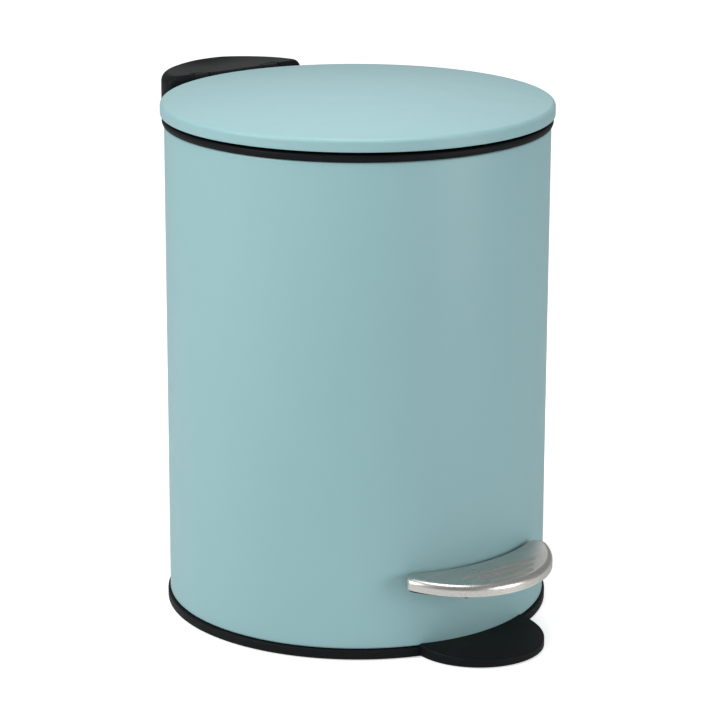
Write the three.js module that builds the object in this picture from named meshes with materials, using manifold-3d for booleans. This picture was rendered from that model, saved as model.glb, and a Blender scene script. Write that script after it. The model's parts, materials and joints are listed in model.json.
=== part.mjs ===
// Round three-litre pedal bin, in millimetres.
// The origin is on the bin's axis at floor level, +Z is up, the pedal points to -Y and the grip to +Y.
// A painted steel wall stands on a plastic base and carries a plastic rim ring. The pedal turns a
// lever under the bucket, the lever lifts a wire rod up the back, and the rod turns the lid.
import * as THREE from 'three';
import { mergeVertices } from 'three/addons/utils/BufferGeometryUtils.js';
import Module from 'manifold-3d';

const wasm = await Module();
wasm.setup();

// ---- Driving dimensions ----

// Clearances
const seatGap = 0.3;             // between two pieces that rest on or clip to each other
const runGap = 0.4;              // between a moving piece and what it passes
const pinPlay = 0.15;            // radial play of a pin in its hole
const past = 20;                 // how far a cutting shape runs past what it cuts

// Wall
const wallRadius = 85;
const sheet = 0.8;               // painted steel
const wallTop = 219.6;

// Base
const padProud = 0.6;            // rubber pads lift the base off the floor
const ringHeight = 4.9;          // top of the base ring above the floor
const ringOverhang = 1.1;        // ring outside the wall
const collarThickness = 2;
const collarTop = 17;
const floorTop = 5.4;
const floorThickness = 2.2;
const footRadius = 29.6;         // rounded front foot
const footSetback = 1;           // foot's middle inside the wall's outer face
const footBackTop = 6.0;         // the foot's top slopes down to the front
const footFrontTop = 4.2;
const ringFlat = 12;             // width of the ring's underside
const padRadius = 4.5;
const padThickness = 2;
const footPadInset = 11;         // middle of the foot's pad behind the foot's tip

// Rim ring
const rimHeight = 3.1;
const rimOverhang = 1;
const rimSkirtThickness = 2;
const rimSkirtDepth = 13;
const ledgeReach = 7.5;          // ledge for the bucket, inwards from the rim skirt
const ledgeThickness = 1.8;
const ledgeDrop = 8;             // ledge's top below the rim's top

// Lid
const lidOverhang = 1.75;        // lid's skirt outside the wall
const lidGap = 1.2;              // open gap between the rim's top and the lid's lower edge
const lidSkirt = 3.8;
const lidEdgeRadius = 2;
const domeRise = 4.6;
const linerThickness = 1.6;
const linerSetback = 1.4;        // liner's web below the lid's rounded edge
const armRootGrip = 0.6;         // arms and crank run this far into the web
const locatorGap = 0.5;          // between the liner's locating ring and the rim's skirt

// Lid hinge
const knuckleRadius = 3.4;
const hingePinRadius = 1.5;
const hingeRise = 4;             // hinge axis above the rim's top
const knuckleGap = 0.35;         // between the lid's skirt and the knuckles
const lidTravel = 80;            // degrees
const armWidth = 8;
const armSpacing = 40;           // between the two hinge arms' middles
const armDepth = 2.9;
const crankWidth = 6;
const crankNose = 1;

// Rear grip
const gripHalfWidth = 38;
const gripDepth = 23;            // grip's back behind the hinge axis
const gripRise = 5.5;            // grip's top above the hinge axis
const gripPlateHeight = 33;      // plate's lower edge below the rim's top
const gripPlateThickness = 4.2;
const gripPlateWidth = 56;
const gripFrontWall = 4;         // wall behind the nose, between the lid and the fingers
const gripRoof = 6.5;
const gripLip = 4.5;
const gripLipDepth = 20.5;       // lip's lower edge below the grip's top
const gripDish = 1.3;
const screwRise = 8;             // screws above the plate's lower edge
const screwSpacing = 36;
const screwRadius = 1.7;
const screwHeadRadius = 3.2;
const screwHeadHeight = 1.8;
const screwLength = 5.2;

// Pedal and lever
const pedalTravel = 9;           // degrees
const pivotY = -25;
const pivotZ = 14;
const pivotPinRadius = 2.5;
const eyeRadius = 5.2;
const leverWidth = 14;
const leverThickness = 2.5;
const leverRunZ = 15.4;          // underside of the run below the bucket
const leverLegInset = 8.2;       // middle of the leg inside the wall's inner face
const tongueSetback = 8.5;        // lever's tip behind the pedal's tip
const tongueRise = 0.2;          // underside of the tongue above the pedal's lower edge
const leverOverrun = 2;          // lever beyond the rod
const earThickness = 3;
const earFoot = 8;               // half length of an ear where it meets the floor
const clipRadius = 4.4;
const clipThickness = 1;
const pinOverhang = 2;           // pivot pin beyond the ears' outer faces
const stopPadSize = 6;           // half width and whole length of the stop pad
const pedalRadius = 43;
const pedalReach = 26.5;          // pedal's tip in front of the wall
const pedalBottom = 32.7;
const pedalBackHeight = 6.9;     // the pedal's top slopes down to the front
const pedalFrontHeight = 5.2;
const pedalSheet = 1.2;
const pedalWallGap = 1;
const pedalEndRadius = 5;        // rounded ends of the crescent
const ribRadius = 0.8;
const ribLengths = [44, 33, 22];
const firstRibSetback = 14.5;     // from the pedal's tip
const ribPitch = 4.4;
const pedalScrewRadius = 1.5;
const pedalScrewHead = 2.8;
const pedalScrewSetbacks = [12.5, 20.5];

// Push rod
const rodRadius = 1.3;
const rodCapRadius = 2.4;
const rodCapGap = 0.5;           // between the rod's cap and the rim's skirt
const rodCapHeight = 4;
const rodSlack = 0.6;            // rod cap below the crank with the pedal up
const guideZ = 100;
const guideHeight = 8;
const guideWidth = 9;

// Bucket
const bucketFloor = 37;
const bucketGap = 1.2;           // between the bucket's mouth and the rim's ledge
const bucketDraft = 3.2;         // foot's radius less than the mouth's
const bucketSheet = 1.6;
const flangeReach = 2.6;
const flangeThickness = 1.6;
const bailRadius = 1.2;
const bailRise = 2.6;            // middle of the bail's wire above the flange
const lugWidth = 6;
const lugThickness = 2;
const sleeveRadius = 2.2;
const sleeveAngle = 30;          // degrees of the bail that the grip sleeve covers

// Facets
const roundSides = 60;
const holeSides = 20;
const rad = THREE.MathUtils.degToRad;

// ---- Derived heights and places ----

const ringRadius = wallRadius + ringOverhang;
const wallBottom = ringHeight + seatGap;
const wallInner = wallRadius - sheet;
const collarRadius = wallInner - seatGap;
const footCentreY = footSetback - wallRadius;
const rimBottom = wallTop + seatGap;
const rimTop = rimBottom + rimHeight;
const rimRadius = wallRadius + rimOverhang;
const rimSkirtRadius = wallInner - seatGap;
const rimSkirtInner = rimSkirtRadius - rimSkirtThickness;
const ledgeInner = rimSkirtInner - ledgeReach;
const ledgeTop = rimTop - ledgeDrop;
const lidRadius = wallRadius + lidOverhang;
const lidBottom = rimTop + lidGap;
const web = lidBottom + lidSkirt - linerSetback;
const lidShoulder = lidBottom + lidSkirt + lidEdgeRadius;
const hingeY = lidRadius + knuckleRadius + knuckleGap;
const hingeZ = rimTop + hingeRise;
const gripReach = hingeY + gripDepth;
const gripTop = hingeZ + gripRise;
const gripLipBottom = gripTop - gripLipDepth;
const gripPlateBottom = rimTop - gripPlateHeight;
const screwHeight = gripPlateBottom + screwRise;
const pedalTip = -wallRadius - pedalReach;
const pedalBackTop = pedalBottom + pedalBackHeight;
const pedalFrontTop = pedalBottom + pedalFrontHeight;
const pedalScrewYs = pedalScrewSetbacks.map((setback) => pedalTip + setback);
const leverTip = pedalTip + tongueSetback;
const leverLegY = leverLegInset - wallInner;
const leverTongueZ = pedalBottom + tongueRise;
const rodY = rimSkirtInner - rodCapRadius - rodCapGap;
const rearArm = rodY - pivotY;
const rodRise = (rearArm + rodRadius) * Math.tan(rad(pedalTravel));
const crankRadius = rodRise / (2 * Math.sin(rad(lidTravel / 2)));
const crankY = hingeY - crankRadius * Math.cos(rad(lidTravel / 2));
const crankZ = hingeZ - crankRadius * Math.sin(rad(lidTravel / 2));
const rodTop = crankZ - crankNose - rodSlack;
const leverRunTop = leverRunZ + leverThickness;
const leverTongueTop = leverTongueZ + leverThickness;
const ringInner = collarRadius - ringFlat;
const bucketMouthRadius = ledgeInner - bucketGap;
const bucketFootRadius = bucketMouthRadius - bucketDraft;
const flangeTop = ledgeTop + seatGap + flangeThickness;
const bailZ = flangeTop + bailRise;

// ---- Materials ----

const paint = () => new THREE.MeshStandardMaterial({ color: 0x93b8bc, roughness: 0.45, metalness: 0.1 });
const plastic = () => new THREE.MeshStandardMaterial({ color: 0x1c1d1f, roughness: 0.5, metalness: 0 });
const rubber = () => new THREE.MeshStandardMaterial({ color: 0x232323, roughness: 0.85, metalness: 0 });
const greyPlastic = () => new THREE.MeshStandardMaterial({
  color: 0x4b4e51, roughness: 0.55, metalness: 0,
});
const stainless = () => new THREE.MeshStandardMaterial({ color: 0xb9b5ae, roughness: 0.3, metalness: 1 });
const zinc = () => new THREE.MeshStandardMaterial({ color: 0xa8abae, roughness: 0.38, metalness: 1 });

// ---- Solid helpers ----

/** Closed geometry with shared vertices and outward faces, as a manifold-3d solid. */
function solid(geometry) {
  const bare = geometry.index ? geometry.toNonIndexed() : geometry.clone();
  bare.deleteAttribute('normal');
  bare.deleteAttribute('uv');
  const merged = mergeVertices(bare, 1e-4);
  const vertProperties = new Float32Array(merged.attributes.position.array);
  const triVerts = keptTriangles(merged.index.array);
  if (signedVolume(vertProperties, triVerts) < 0) triVerts.reverse();
  return new wasm.Manifold(new wasm.Mesh({ numProp: 3, vertProperties, triVerts }));
}

/** Triangles with three different corners. */
function keptTriangles(index) {
  const kept = [];
  for (let i = 0; i < index.length; i += 3) {
    const [a, b, c] = [index[i], index[i + 1], index[i + 2]];
    if (a !== b && b !== c && c !== a) kept.push(a, b, c);
  }
  return new Uint32Array(kept);
}

/** Signed volume of a closed triangle mesh, positive when its faces point out. */
function signedVolume(points, index) {
  const corner = (i) => new THREE.Vector3().fromArray(points, 3 * i);
  let volume = 0;
  for (let i = 0; i < index.length; i += 3) {
    volume += corner(index[i]).dot(corner(index[i + 1]).cross(corner(index[i + 2])));
  }
  return volume;
}

/** A manifold-3d solid as a three.js geometry with flat normals. */
function geometryOf(body) {
  const mesh = body.getMesh();
  const geometry = new THREE.BufferGeometry();
  geometry.setAttribute('position', new THREE.BufferAttribute(new Float32Array(mesh.vertProperties), 3));
  geometry.setIndex(new THREE.BufferAttribute(new Uint32Array(mesh.triVerts), 1));
  geometry.computeVertexNormals();
  return geometry;
}

/** Solid of revolution about Z from a closed outline of [radius, z] points. */
function turned(outline, sides = roundSides) {
  const points = [...outline, outline[0]].map(([r, z]) => new THREE.Vector2(r, z));
  return solid(new THREE.LatheGeometry(points, sides).rotateX(Math.PI / 2));
}

/** Upright cylinder from z0 to z1. */
function post(radius, z0, z1, x = 0, y = 0, sides = holeSides) {
  const cylinder = new THREE.CylinderGeometry(radius, radius, z1 - z0, sides).rotateX(Math.PI / 2);
  return solid(cylinder.translate(x, y, (z0 + z1) / 2));
}

/** Cylinder along X from x0 to x1. */
function crossPin(radius, x0, x1, y, z, sides = holeSides) {
  const cylinder = new THREE.CylinderGeometry(radius, radius, x1 - x0, sides).rotateZ(Math.PI / 2);
  return solid(cylinder.translate((x0 + x1) / 2, y, z));
}

/** Cylinder along Y from y0 to y1. */
function longPin(radius, y0, y1, x, z, sides = holeSides) {
  return solid(new THREE.CylinderGeometry(radius, radius, y1 - y0, sides).translate(x, (y0 + y1) / 2, z));
}

/** Box between two corners. */
function block([x0, y0, z0], [x1, y1, z1]) {
  const box = new THREE.BoxGeometry(x1 - x0, y1 - y0, z1 - z0);
  return solid(box.translate((x0 + x1) / 2, (y0 + y1) / 2, (z0 + z1) / 2));
}

/** Plan outline in X and Y, raised from z0 to z1. */
function raised(shape, z0, z1, curveSegments = 24) {
  const geometry = new THREE.ExtrudeGeometry(shape, { depth: z1 - z0, bevelEnabled: false, curveSegments });
  return solid(geometry.translate(0, 0, z0));
}

/** Side outline in Y and Z, swept from x0 to x1. */
function swept(shape, x0, x1, curveSegments = 10) {
  const geometry = new THREE.ExtrudeGeometry(shape, { depth: x1 - x0, bevelEnabled: false, curveSegments });
  geometry.rotateY(Math.PI / 2).rotateX(Math.PI / 2);
  return solid(geometry.translate(x0, 0, 0));
}

/** Closed shape from corner points. */
function outline(points) {
  return new THREE.Shape(points.map(([x, y]) => new THREE.Vector2(x, y)));
}

/** Round tube of the given radius along a curve. */
function tube(curve, radius, steps, sides = 10) {
  const section = new THREE.Shape().absarc(0, 0, radius, 0, 2 * Math.PI);
  const options = { steps, extrudePath: curve, bevelEnabled: false, curveSegments: sides };
  return solid(new THREE.ExtrudeGeometry(section, options));
}

/** Named mesh of one piece, added to the bin. */
const bin = new THREE.Group();
function addPiece(name, body, material) {
  const mesh = new THREE.Mesh(geometryOf(body), material);
  mesh.name = name;
  bin.add(mesh);
}

// ---- Wall and base ----

/** Steel wall with the lever's slot at the front and two screw holes at the back. */
function bodyShell() {
  const ring = turned([
    [wallInner, wallBottom], [wallRadius, wallBottom], [wallRadius, wallTop], [wallInner, wallTop],
  ]);
  const half = leverWidth / 2 + 2 * runGap;
  const slot = block(
    [-half, -wallRadius - past, slotBottom()],
    [half, past - wallInner, leverTongueTop + 2 * runGap],
  );
  let wall = ring.subtract(slot);
  for (const x of screwXs()) {
    const [y0, y1] = [wallInner - past, wallRadius + past];
    wall = wall.subtract(longPin(screwRadius + seatGap, y0, y1, x, screwHeight));
  }
  return wall;
}

/** Lowest point that the tongue reaches at the wall with the pedal down, less its clearance. */
function slotBottom() {
  const reach = wallRadius + pivotY;
  const drop = reach * Math.tan(rad(pedalTravel));
  return pivotZ + (leverTongueZ - pivotZ) / Math.cos(rad(pedalTravel)) - drop - 2 * runGap;
}

function screwXs() {
  return [-screwSpacing / 2, screwSpacing / 2];
}

/** Base: outer ring, collar inside the wall, floor, front foot and the lever's pivot ears. */
function base() {
  const ring = turned([
    [0, floorTop - floorThickness], [ringInner, floorTop - floorThickness],
    [ringInner, padProud], [ringRadius - 0.7, padProud], [ringRadius, padProud + 0.7],
    [ringRadius, ringHeight - 0.5], [ringRadius - 0.5, ringHeight], [collarRadius, ringHeight],
    [collarRadius, collarTop - 1], [collarRadius - 0.8, collarTop],
    [collarRadius - collarThickness, collarTop], [collarRadius - collarThickness, floorTop], [0, floorTop],
  ]);
  let body = ring.add(frontFoot());
  for (const side of [-1, 1]) {
    body = body.add(pivotEar(side));
  }
  for (const [x, y] of Object.values(padPlaces())) {
    body = body.subtract(post(padRadius + seatGap, padProud - 1, padThickness + seatGap, x, y));
  }
  return body;
}

/** Round foot that keeps the bin from tipping when the pedal is pressed. */
function frontFoot() {
  const front = footCentreY - footRadius;
  const slope = (footBackTop - footFrontTop) / footRadius;
  const topAt = (y) => footFrontTop + (y - front) * slope;
  const [y0, y1] = [front - 2, footCentreY + footRadius + 2];
  const above = outline([[y0, topAt(y0)], [y1, topAt(y1)], [y1, topAt(y1) + past], [y0, topAt(y0) + past]]);
  return post(footRadius, padProud, footBackTop + 2, 0, footCentreY, 48)
    .subtract(swept(above, -footRadius - 2, footRadius + 2))
    .subtract(post(ringInner + 1, padProud - 1, footBackTop + past, 0, 0, roundSides))
    .subtract(post(wallRadius + seatGap, ringHeight, footBackTop + past, 0, 0, roundSides));
}

/** Ear that holds the pivot pin beside the lever. */
function pivotEar(side) {
  const inner = leverWidth / 2 + runGap;
  const [x0, x1] = side < 0 ? [-inner - earThickness, -inner] : [inner, inner + earThickness];
  const profile = new THREE.Shape()
    .moveTo(pivotY - earFoot, floorTop - 1)
    .lineTo(pivotY + earFoot, floorTop - 1)
    .lineTo(pivotY + eyeRadius, pivotZ)
    .absarc(pivotY, pivotZ, eyeRadius, 0, Math.PI)
    .lineTo(pivotY - earFoot, floorTop - 1);
  return swept(profile, x0, x1)
    .subtract(crossPin(pivotPinRadius + pinPlay, x0 - 1, x1 + 1, pivotY, pivotZ));
}

/** Middles of the four pads, by name: three round the ring and one under the foot. */
function padPlaces() {
  const r = (ringInner + ringRadius) / 2;
  const onRing = (angle) => [r * Math.cos(rad(angle)), r * Math.sin(rad(angle))];
  return {
    rear: onRing(90), left: onRing(205), right: onRing(-25),
    front: [0, footCentreY - footRadius + footPadInset],
  };
}

// ---- Rim ring ----

/** Plastic ring on the wall's top edge, with a ledge for the bucket. */
function topRim() {
  const ledgeBottom = ledgeTop - ledgeThickness;
  const skirtBottom = rimTop - rimHeight - rimSkirtDepth;
  let ring = turned([
    [rimSkirtRadius - 0.6, skirtBottom], [rimSkirtRadius, skirtBottom + 0.6], [rimSkirtRadius, rimBottom],
    [rimRadius - 0.4, rimBottom], [rimRadius, rimBottom + 0.5], [rimRadius, rimTop - 0.7],
    [rimRadius - 0.7, rimTop], [rimSkirtInner, rimTop], [rimSkirtInner, ledgeTop], [ledgeInner, ledgeTop],
    [ledgeInner, ledgeBottom], [rimSkirtInner, ledgeBottom], [rimSkirtInner, skirtBottom],
  ]);
  for (const x of armXs()) {
    const half = armWidth / 2 + runGap;
    ring = ring.subtract(block(
      [x - half, rimSkirtInner - past, rimBottom - 0.1],
      [x + half, rimRadius + past, rimTop + 1],
    ));
  }
  const pocket = crankWidth / 2 + 1;
  ring = ring.subtract(block(
    [-pocket, rimSkirtInner - past, ledgeTop + 0.5],
    [pocket, rimSkirtRadius - 0.7, rimTop + 1],
  ));
  return ring.subtract(post(rodCapRadius + runGap, ledgeBottom - 1, ledgeTop + 2, 0, rodY));
}

function armXs() {
  return [-armSpacing / 2, armSpacing / 2];
}

// ---- Lid ----

/** Outer or inner line of the lid's sheet from its lower edge to its crown, offset inwards. */
function lidLine(offset) {
  const cornerZ = lidBottom + lidSkirt;
  const cornerR = lidRadius - lidEdgeRadius;
  const radius = lidEdgeRadius - offset;
  const points = [[lidRadius - offset, lidBottom]];
  for (const angle of [0, 30, 60]) {
    points.push([cornerR + radius * Math.cos(rad(angle)), cornerZ + radius * Math.sin(rad(angle))]);
  }
  for (const share of [1, 0.72, 0.4]) {
    points.push([cornerR * share, domeHeight(cornerR * share) - offset]);
  }
  points.push([0, domeHeight(0) - offset]);
  return points;
}

/** Height of the lid's outer face at a radius inside the rounded edge. */
function domeHeight(r) {
  const share = r / (lidRadius - lidEdgeRadius);
  return lidShoulder + domeRise * (1 - share * share);
}

function lidShell() {
  return turned([...lidLine(0), ...lidLine(sheet).reverse()]);
}

/** Plastic liner under the lid with two hinge arms and the crank that the rod pushes. */
function lidLiner() {
  const skin = sheet + seatGap;
  const outer = lidRadius - skin;
  const bottom = lidBottom + 0.3;
  const locatorOuter = rimSkirtInner - locatorGap;
  const locatorInner = locatorOuter - linerThickness;
  let liner = turned([
    [0, web], [locatorInner, web], [locatorInner, rimTop + seatGap], [locatorOuter, rimTop + seatGap],
    [locatorOuter, bottom], [outer, bottom], [outer, lidBottom + lidSkirt],
    [outer - 1.2, web + linerThickness + 0.6], [outer - 3, web + linerThickness], [0, web + linerThickness],
  ]);
  for (const x of armXs()) {
    liner = liner.add(hingeArm(x));
  }
  liner = liner.add(crank());
  return liner.subtract(crossPin(hingePinRadius + pinPlay, -gripHalfWidth, gripHalfWidth, hingeY, hingeZ));
}

/** Arm from the liner, under the lid's edge, to its knuckle round the hinge pin. */
function hingeArm(x) {
  const half = armWidth / 2;
  const top = lidBottom - runGap;
  const rootY = rootEndY() - 8;
  const bar = block([x - half, rootY, top - armDepth], [x + half, hingeY, top]);
  const root = block([x - half, rootY, top - armDepth], [x + half, rootEndY() + 0.5, web + armRootGrip]);
  return bar.add(root).add(crossPin(knuckleRadius, x - half, x + half, hingeY, hingeZ));
}

/** Where the inside of the lid's skirt leaves room for the arms' roots. */
function rootEndY() {
  const inner = lidRadius - sheet - seatGap;
  const x = (armSpacing + armWidth) / 2;
  return Math.sqrt(inner * inner - x * x) - 1;
}

/** Crank that hangs from the liner, with a round nose above the rod. */
function crank() {
  const half = crankWidth / 2;
  const stem = outline([
    [crankY - 7, web + armRootGrip], [crankY - 7, rimTop + 0.8], [crankY - crankNose, crankZ],
    [crankY + crankNose, crankZ], [crankY + crankNose, web + armRootGrip],
  ]);
  return swept(stem, -half, half).add(crossPin(crankNose, -half, half, crankY, crankZ));
}

/** Bumper between the rim's top and the liner's outer flat, at an angle from +X. */
function bumper(angle) {
  const r = (rimSkirtRadius + rimRadius) / 2 - 0.9;
  const [x, y] = [r * Math.cos(rad(angle)), r * Math.sin(rad(angle))];
  return post(1, rimTop + 0.15, lidBottom + 0.05, x, y, 12);
}

// ---- Rear grip ----

/** Grip and hinge housing: a plate on the wall, a roof over the fingers and a lip round them. */
function rearHandle() {
  const plateRadius = wallRadius + gripPlateThickness;
  const underRoof = gripTop - gripRoof;
  const side = gripHalfWidth + past;
  const hood = gripPlan(0, gripLipBottom, gripTop + 2).intersect(swept(gripProfile(), -side, side, 8));
  const plate = post(plateRadius, gripPlateBottom, rimTop, 0, 0, roundSides).intersect(block(
    [-gripPlateWidth / 2, wallRadius - past, gripPlateBottom],
    [gripPlateWidth / 2, wallRadius + past, rimTop],
  ));
  const wallY = hingeY - knuckleRadius + gripFrontWall;
  const fingers = gripPlan(gripLip, gripPlateBottom, underRoof)
    .subtract(block([-side, wallRadius - 2 * past, gripPlateBottom - 1], [side, wallY, underRoof + 1]));
  let body = hood.subtract(fingers).add(plate);
  body = body.subtract(post(wallRadius + seatGap, gripPlateBottom - 1, rimBottom - 2, 0, 0, roundSides));
  body = body.subtract(post(rimRadius + seatGap, rimBottom - 2.1, rimTop + 0.6, 0, 0, roundSides));
  for (const x of armXs()) {
    body = body.subtract(knuckleSlot(x));
  }
  const blindEnd = -hingePinHalf() - seatGap;
  body = body.subtract(crossPin(hingePinRadius + pinPlay, blindEnd, side, hingeY, hingeZ));
  for (const x of screwXs()) {
    const [y0, y1] = [wallInner - past, screwTip() + seatGap];
    body = body.subtract(longPin(screwRadius + pinPlay, y0, y1, x, screwHeight));
  }
  return body;
}

/** Side section of the grip's top: nose round the hinge pin, then a dished roof. */
function gripProfile() {
  const roofStart = hingeY + 4.9;
  const edge = 3;
  const front = hingeY - 2 * past;
  const shape = new THREE.Shape();
  shape.moveTo(front, gripLipBottom - 1);
  shape.lineTo(gripReach + 1, gripLipBottom - 1);
  shape.lineTo(gripReach + 1, gripTop - edge);
  shape.lineTo(gripReach, gripTop - edge);
  shape.quadraticCurveTo(gripReach, gripTop, gripReach - edge, gripTop);
  shape.quadraticCurveTo((gripReach + roofStart) / 2, gripTop - 2 * gripDish, roofStart, gripTop - 0.5);
  shape.absarc(hingeY, hingeZ, knuckleRadius, Math.PI / 3, Math.PI);
  shape.lineTo(hingeY - knuckleRadius, rimTop + 0.5);
  shape.lineTo(front, rimTop + 0.5);
  return shape;
}

/** Plan of the grip, inset all round: straight towards the lid, bowed at the back. */
function gripPlan(inset, z0, z1) {
  const w = gripHalfWidth - inset;
  const back = gripReach - inset;
  const flank = hingeY - 2.5;
  const pull = hingeY + 10.5 - inset / 2;
  const shape = new THREE.Shape();
  shape.moveTo(-w, hingeY - past);
  shape.lineTo(-w, flank);
  shape.bezierCurveTo(-w, pull, -w * 0.55, back, 0, back);
  shape.bezierCurveTo(w * 0.55, back, w, pull, w, flank);
  shape.lineTo(w, hingeY - past);
  return raised(shape, z0, z1, 12);
}

/** Space for one hinge arm and its knuckle as they turn. */
function knuckleSlot(x) {
  const half = armWidth / 2 + runGap;
  const r = knuckleRadius + 0.5;
  const shape = new THREE.Shape();
  shape.moveTo(hingeY - 2 * past, rimBottom - 0.2);
  shape.lineTo(hingeY + 1, rimBottom - 0.2);
  shape.lineTo(hingeY + r, hingeZ - 1);
  shape.absarc(hingeY, hingeZ, r, 0, Math.PI / 2);
  shape.lineTo(hingeY, hingeZ + 12);
  shape.lineTo(hingeY - 2 * past, hingeZ + 12);
  return swept(shape, x - half, x + half);
}

/** Half the hinge pin's length. It goes in from the +X end; the hole is blind at the other. */
function hingePinHalf() {
  return gripHalfWidth - 3;
}

/** Steel pin through the grip's nose and the lid's knuckles. */
function hingePin() {
  return crossPin(hingePinRadius, -hingePinHalf(), hingePinHalf(), hingeY, hingeZ);
}

function screwTip() {
  return wallInner - screwHeadGap() + screwLength;
}

/** How far the screw head's flat stands inside the curved wall. */
function screwHeadGap() {
  const x = screwSpacing / 2 + screwHeadRadius;
  return wallInner - Math.sqrt(wallInner * wallInner - x * x) + seatGap;
}

/** Screw from inside the wall into the grip's plate. */
function handleScrew(x) {
  const seat = wallInner - screwHeadGap();
  return longPin(screwHeadRadius, seat - screwHeadHeight, seat, x, screwHeight, 16)
    .add(longPin(screwRadius, seat - 0.5, screwTip(), x, screwHeight, 16));
}

// ---- Pedal ----

/** Plan outline of the pedal, inset all round: a crescent with two rounded ends. */
function pedalPlan(inset) {
  const centreY = pedalTip + pedalRadius;
  const wallSide = wallRadius + pedalWallGap;
  const reach = pedalRadius - pedalEndRadius;
  const clear = wallSide + pedalEndRadius;
  const endY = (clear * clear - reach * reach + centreY * centreY) / (2 * centreY);
  const endX = Math.sqrt(clear * clear - endY * endY);
  const fromFront = Math.atan2(endY - centreY, endX);
  const fromAxis = Math.atan2(endY, endX);
  const end = pedalEndRadius - inset;
  return new THREE.Shape()
    .absarc(0, centreY, pedalRadius - inset, Math.PI - fromFront, 2 * Math.PI + fromFront)
    .absarc(endX, endY, end, fromFront, Math.PI + fromAxis)
    .absarc(0, 0, wallSide + inset, fromAxis, -Math.PI - fromAxis, true)
    .absarc(-endX, endY, end, -fromAxis, Math.PI - fromFront);
}

/** Top of the pedal at a distance along Y. */
function pedalTopAt(y) {
  const back = -wallRadius;
  return pedalFrontTop + ((y - pedalTip) / (back - pedalTip)) * (pedalBackTop - pedalFrontTop);
}

/** Space above the pedal's sloping top, lowered by a depth. */
function abovePedal(depth) {
  const [y0, y1] = [pedalTip - past, pedalTip + 2 * pedalRadius];
  const ceiling = pedalBackTop + 2 * past;
  const shape = outline([
    [y0, pedalTopAt(y0) - depth], [y1, pedalTopAt(y1) - depth], [y1, ceiling], [y0, ceiling],
  ]);
  return swept(shape, -pedalRadius - past, pedalRadius + past);
}

/** Crescent solid, inset from the pedal's outline and top. */
function crescent(inset, bottom) {
  return raised(pedalPlan(inset), bottom, pedalBackTop + past, 10).subtract(abovePedal(inset));
}

/** Stainless cap: sloping top, turned-down lip with a way for the tongue, and three pressed ribs. */
function pedalCap() {
  const half = leverWidth / 2 + seatGap;
  const lipInner = -wallRadius - pedalWallGap - pedalSheet;
  let cap = crescent(0, pedalBottom).subtract(crescent(pedalSheet, pedalBottom - 5));
  cap = cap.subtract(block(
    [-half, lipInner - 1, pedalBottom - 1],
    [half, past - wallRadius, leverTongueTop + seatGap],
  ));
  ribLengths.forEach((length, index) => {
    const y = pedalTip + firstRibSetback - index * ribPitch;
    cap = cap.add(crossPin(ribRadius, -length / 2, length / 2, y, pedalTopAt(y) - 0.25, 10));
  });
  return cap;
}

/** Plastic core under the cap, grooved for the lever's tongue. */
function pedalCore() {
  const half = leverWidth / 2 + seatGap;
  const grooveTop = leverTongueTop + seatGap;
  let core = crescent(pedalSheet + seatGap, pedalBottom + 0.6)
    .subtract(block([-half, leverTip - seatGap, pedalBottom - 3], [half, past - wallRadius, grooveTop]));
  for (const y of pedalScrewYs) {
    const [z0, z1] = [pedalBottom - 3, pedalScrewTop(y) + 0.2];
    core = core.subtract(post(pedalScrewRadius + pinPlay, z0, z1, 0, y, 12));
  }
  return core;
}

/** Upper end of a pedal screw, inside the core. */
function pedalScrewTop(y) {
  return pedalTopAt(y) - pedalSheet - 1.2;
}

/** Bent steel strip: tongue under the pedal, leg down inside the wall, run to the rod. */
function pedalLever() {
  const half = leverWidth / 2;
  const legFront = leverLegY - leverThickness / 2;
  const legBack = leverLegY + leverThickness / 2;
  const end = rodY + leverOverrun;
  const strip = outline([
    [leverTip, leverTongueTop], [legBack - 1.2, leverTongueTop], [legBack, leverTongueTop - 1.2],
    [legBack, leverRunTop], [end, leverRunTop], [end, leverRunZ],
    [legFront + 1.2, leverRunZ], [legFront, leverRunZ + 1.2],
    [legFront, leverTongueZ], [leverTip, leverTongueZ],
  ]);
  let lever = swept(strip, -half, half).add(crossPin(eyeRadius, -half, half, pivotY, pivotZ));
  lever = lever.subtract(crossPin(pivotPinRadius + pinPlay, -half - 1, half + 1, pivotY, pivotZ));
  for (const y of pedalScrewYs) {
    lever = lever.subtract(post(pedalScrewRadius + 0.2, leverTongueZ - 3, leverTongueTop + 3, 0, y, 12));
  }
  return lever;
}

/** Screw up through the lever's tongue into the core. */
function pedalScrew(y) {
  const headTop = leverTongueZ - seatGap;
  return post(pedalScrewHead, headTop - 1.4, headTop, 0, y, 16)
    .add(post(pedalScrewRadius, headTop - 0.5, pedalScrewTop(y), 0, y, 16));
}

/** Push-on clip outside one pivot ear. */
function pivotClip(side) {
  const inner = leverWidth / 2 + runGap + earThickness + seatGap;
  const [x0, x1] = side < 0 ? [-inner - clipThickness, -inner] : [inner, inner + clipThickness];
  return crossPin(clipRadius, x0, x1, pivotY, pivotZ, 16)
    .subtract(crossPin(pivotPinRadius + pinPlay, x0 - 1, x1 + 1, pivotY, pivotZ));
}

function pivotPin() {
  const half = leverWidth / 2 + runGap + earThickness + seatGap + pinOverhang;
  return crossPin(pivotPinRadius, -half, half, pivotY, pivotZ);
}

/** Rubber pad on the base floor where the lever's leg comes down. */
function leverStopPad() {
  const y = leverLegY + 1;
  const half = stopPadSize / 2;
  return block([-stopPadSize, y - half, floorTop + 0.1], [stopPadSize, y + half, floorTop + 1.2]);
}

// ---- Push rod ----

function pushRod() {
  return post(rodRadius, leverRunTop + seatGap, rodTop - rodCapHeight / 2, 0, rodY, 12);
}

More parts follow.
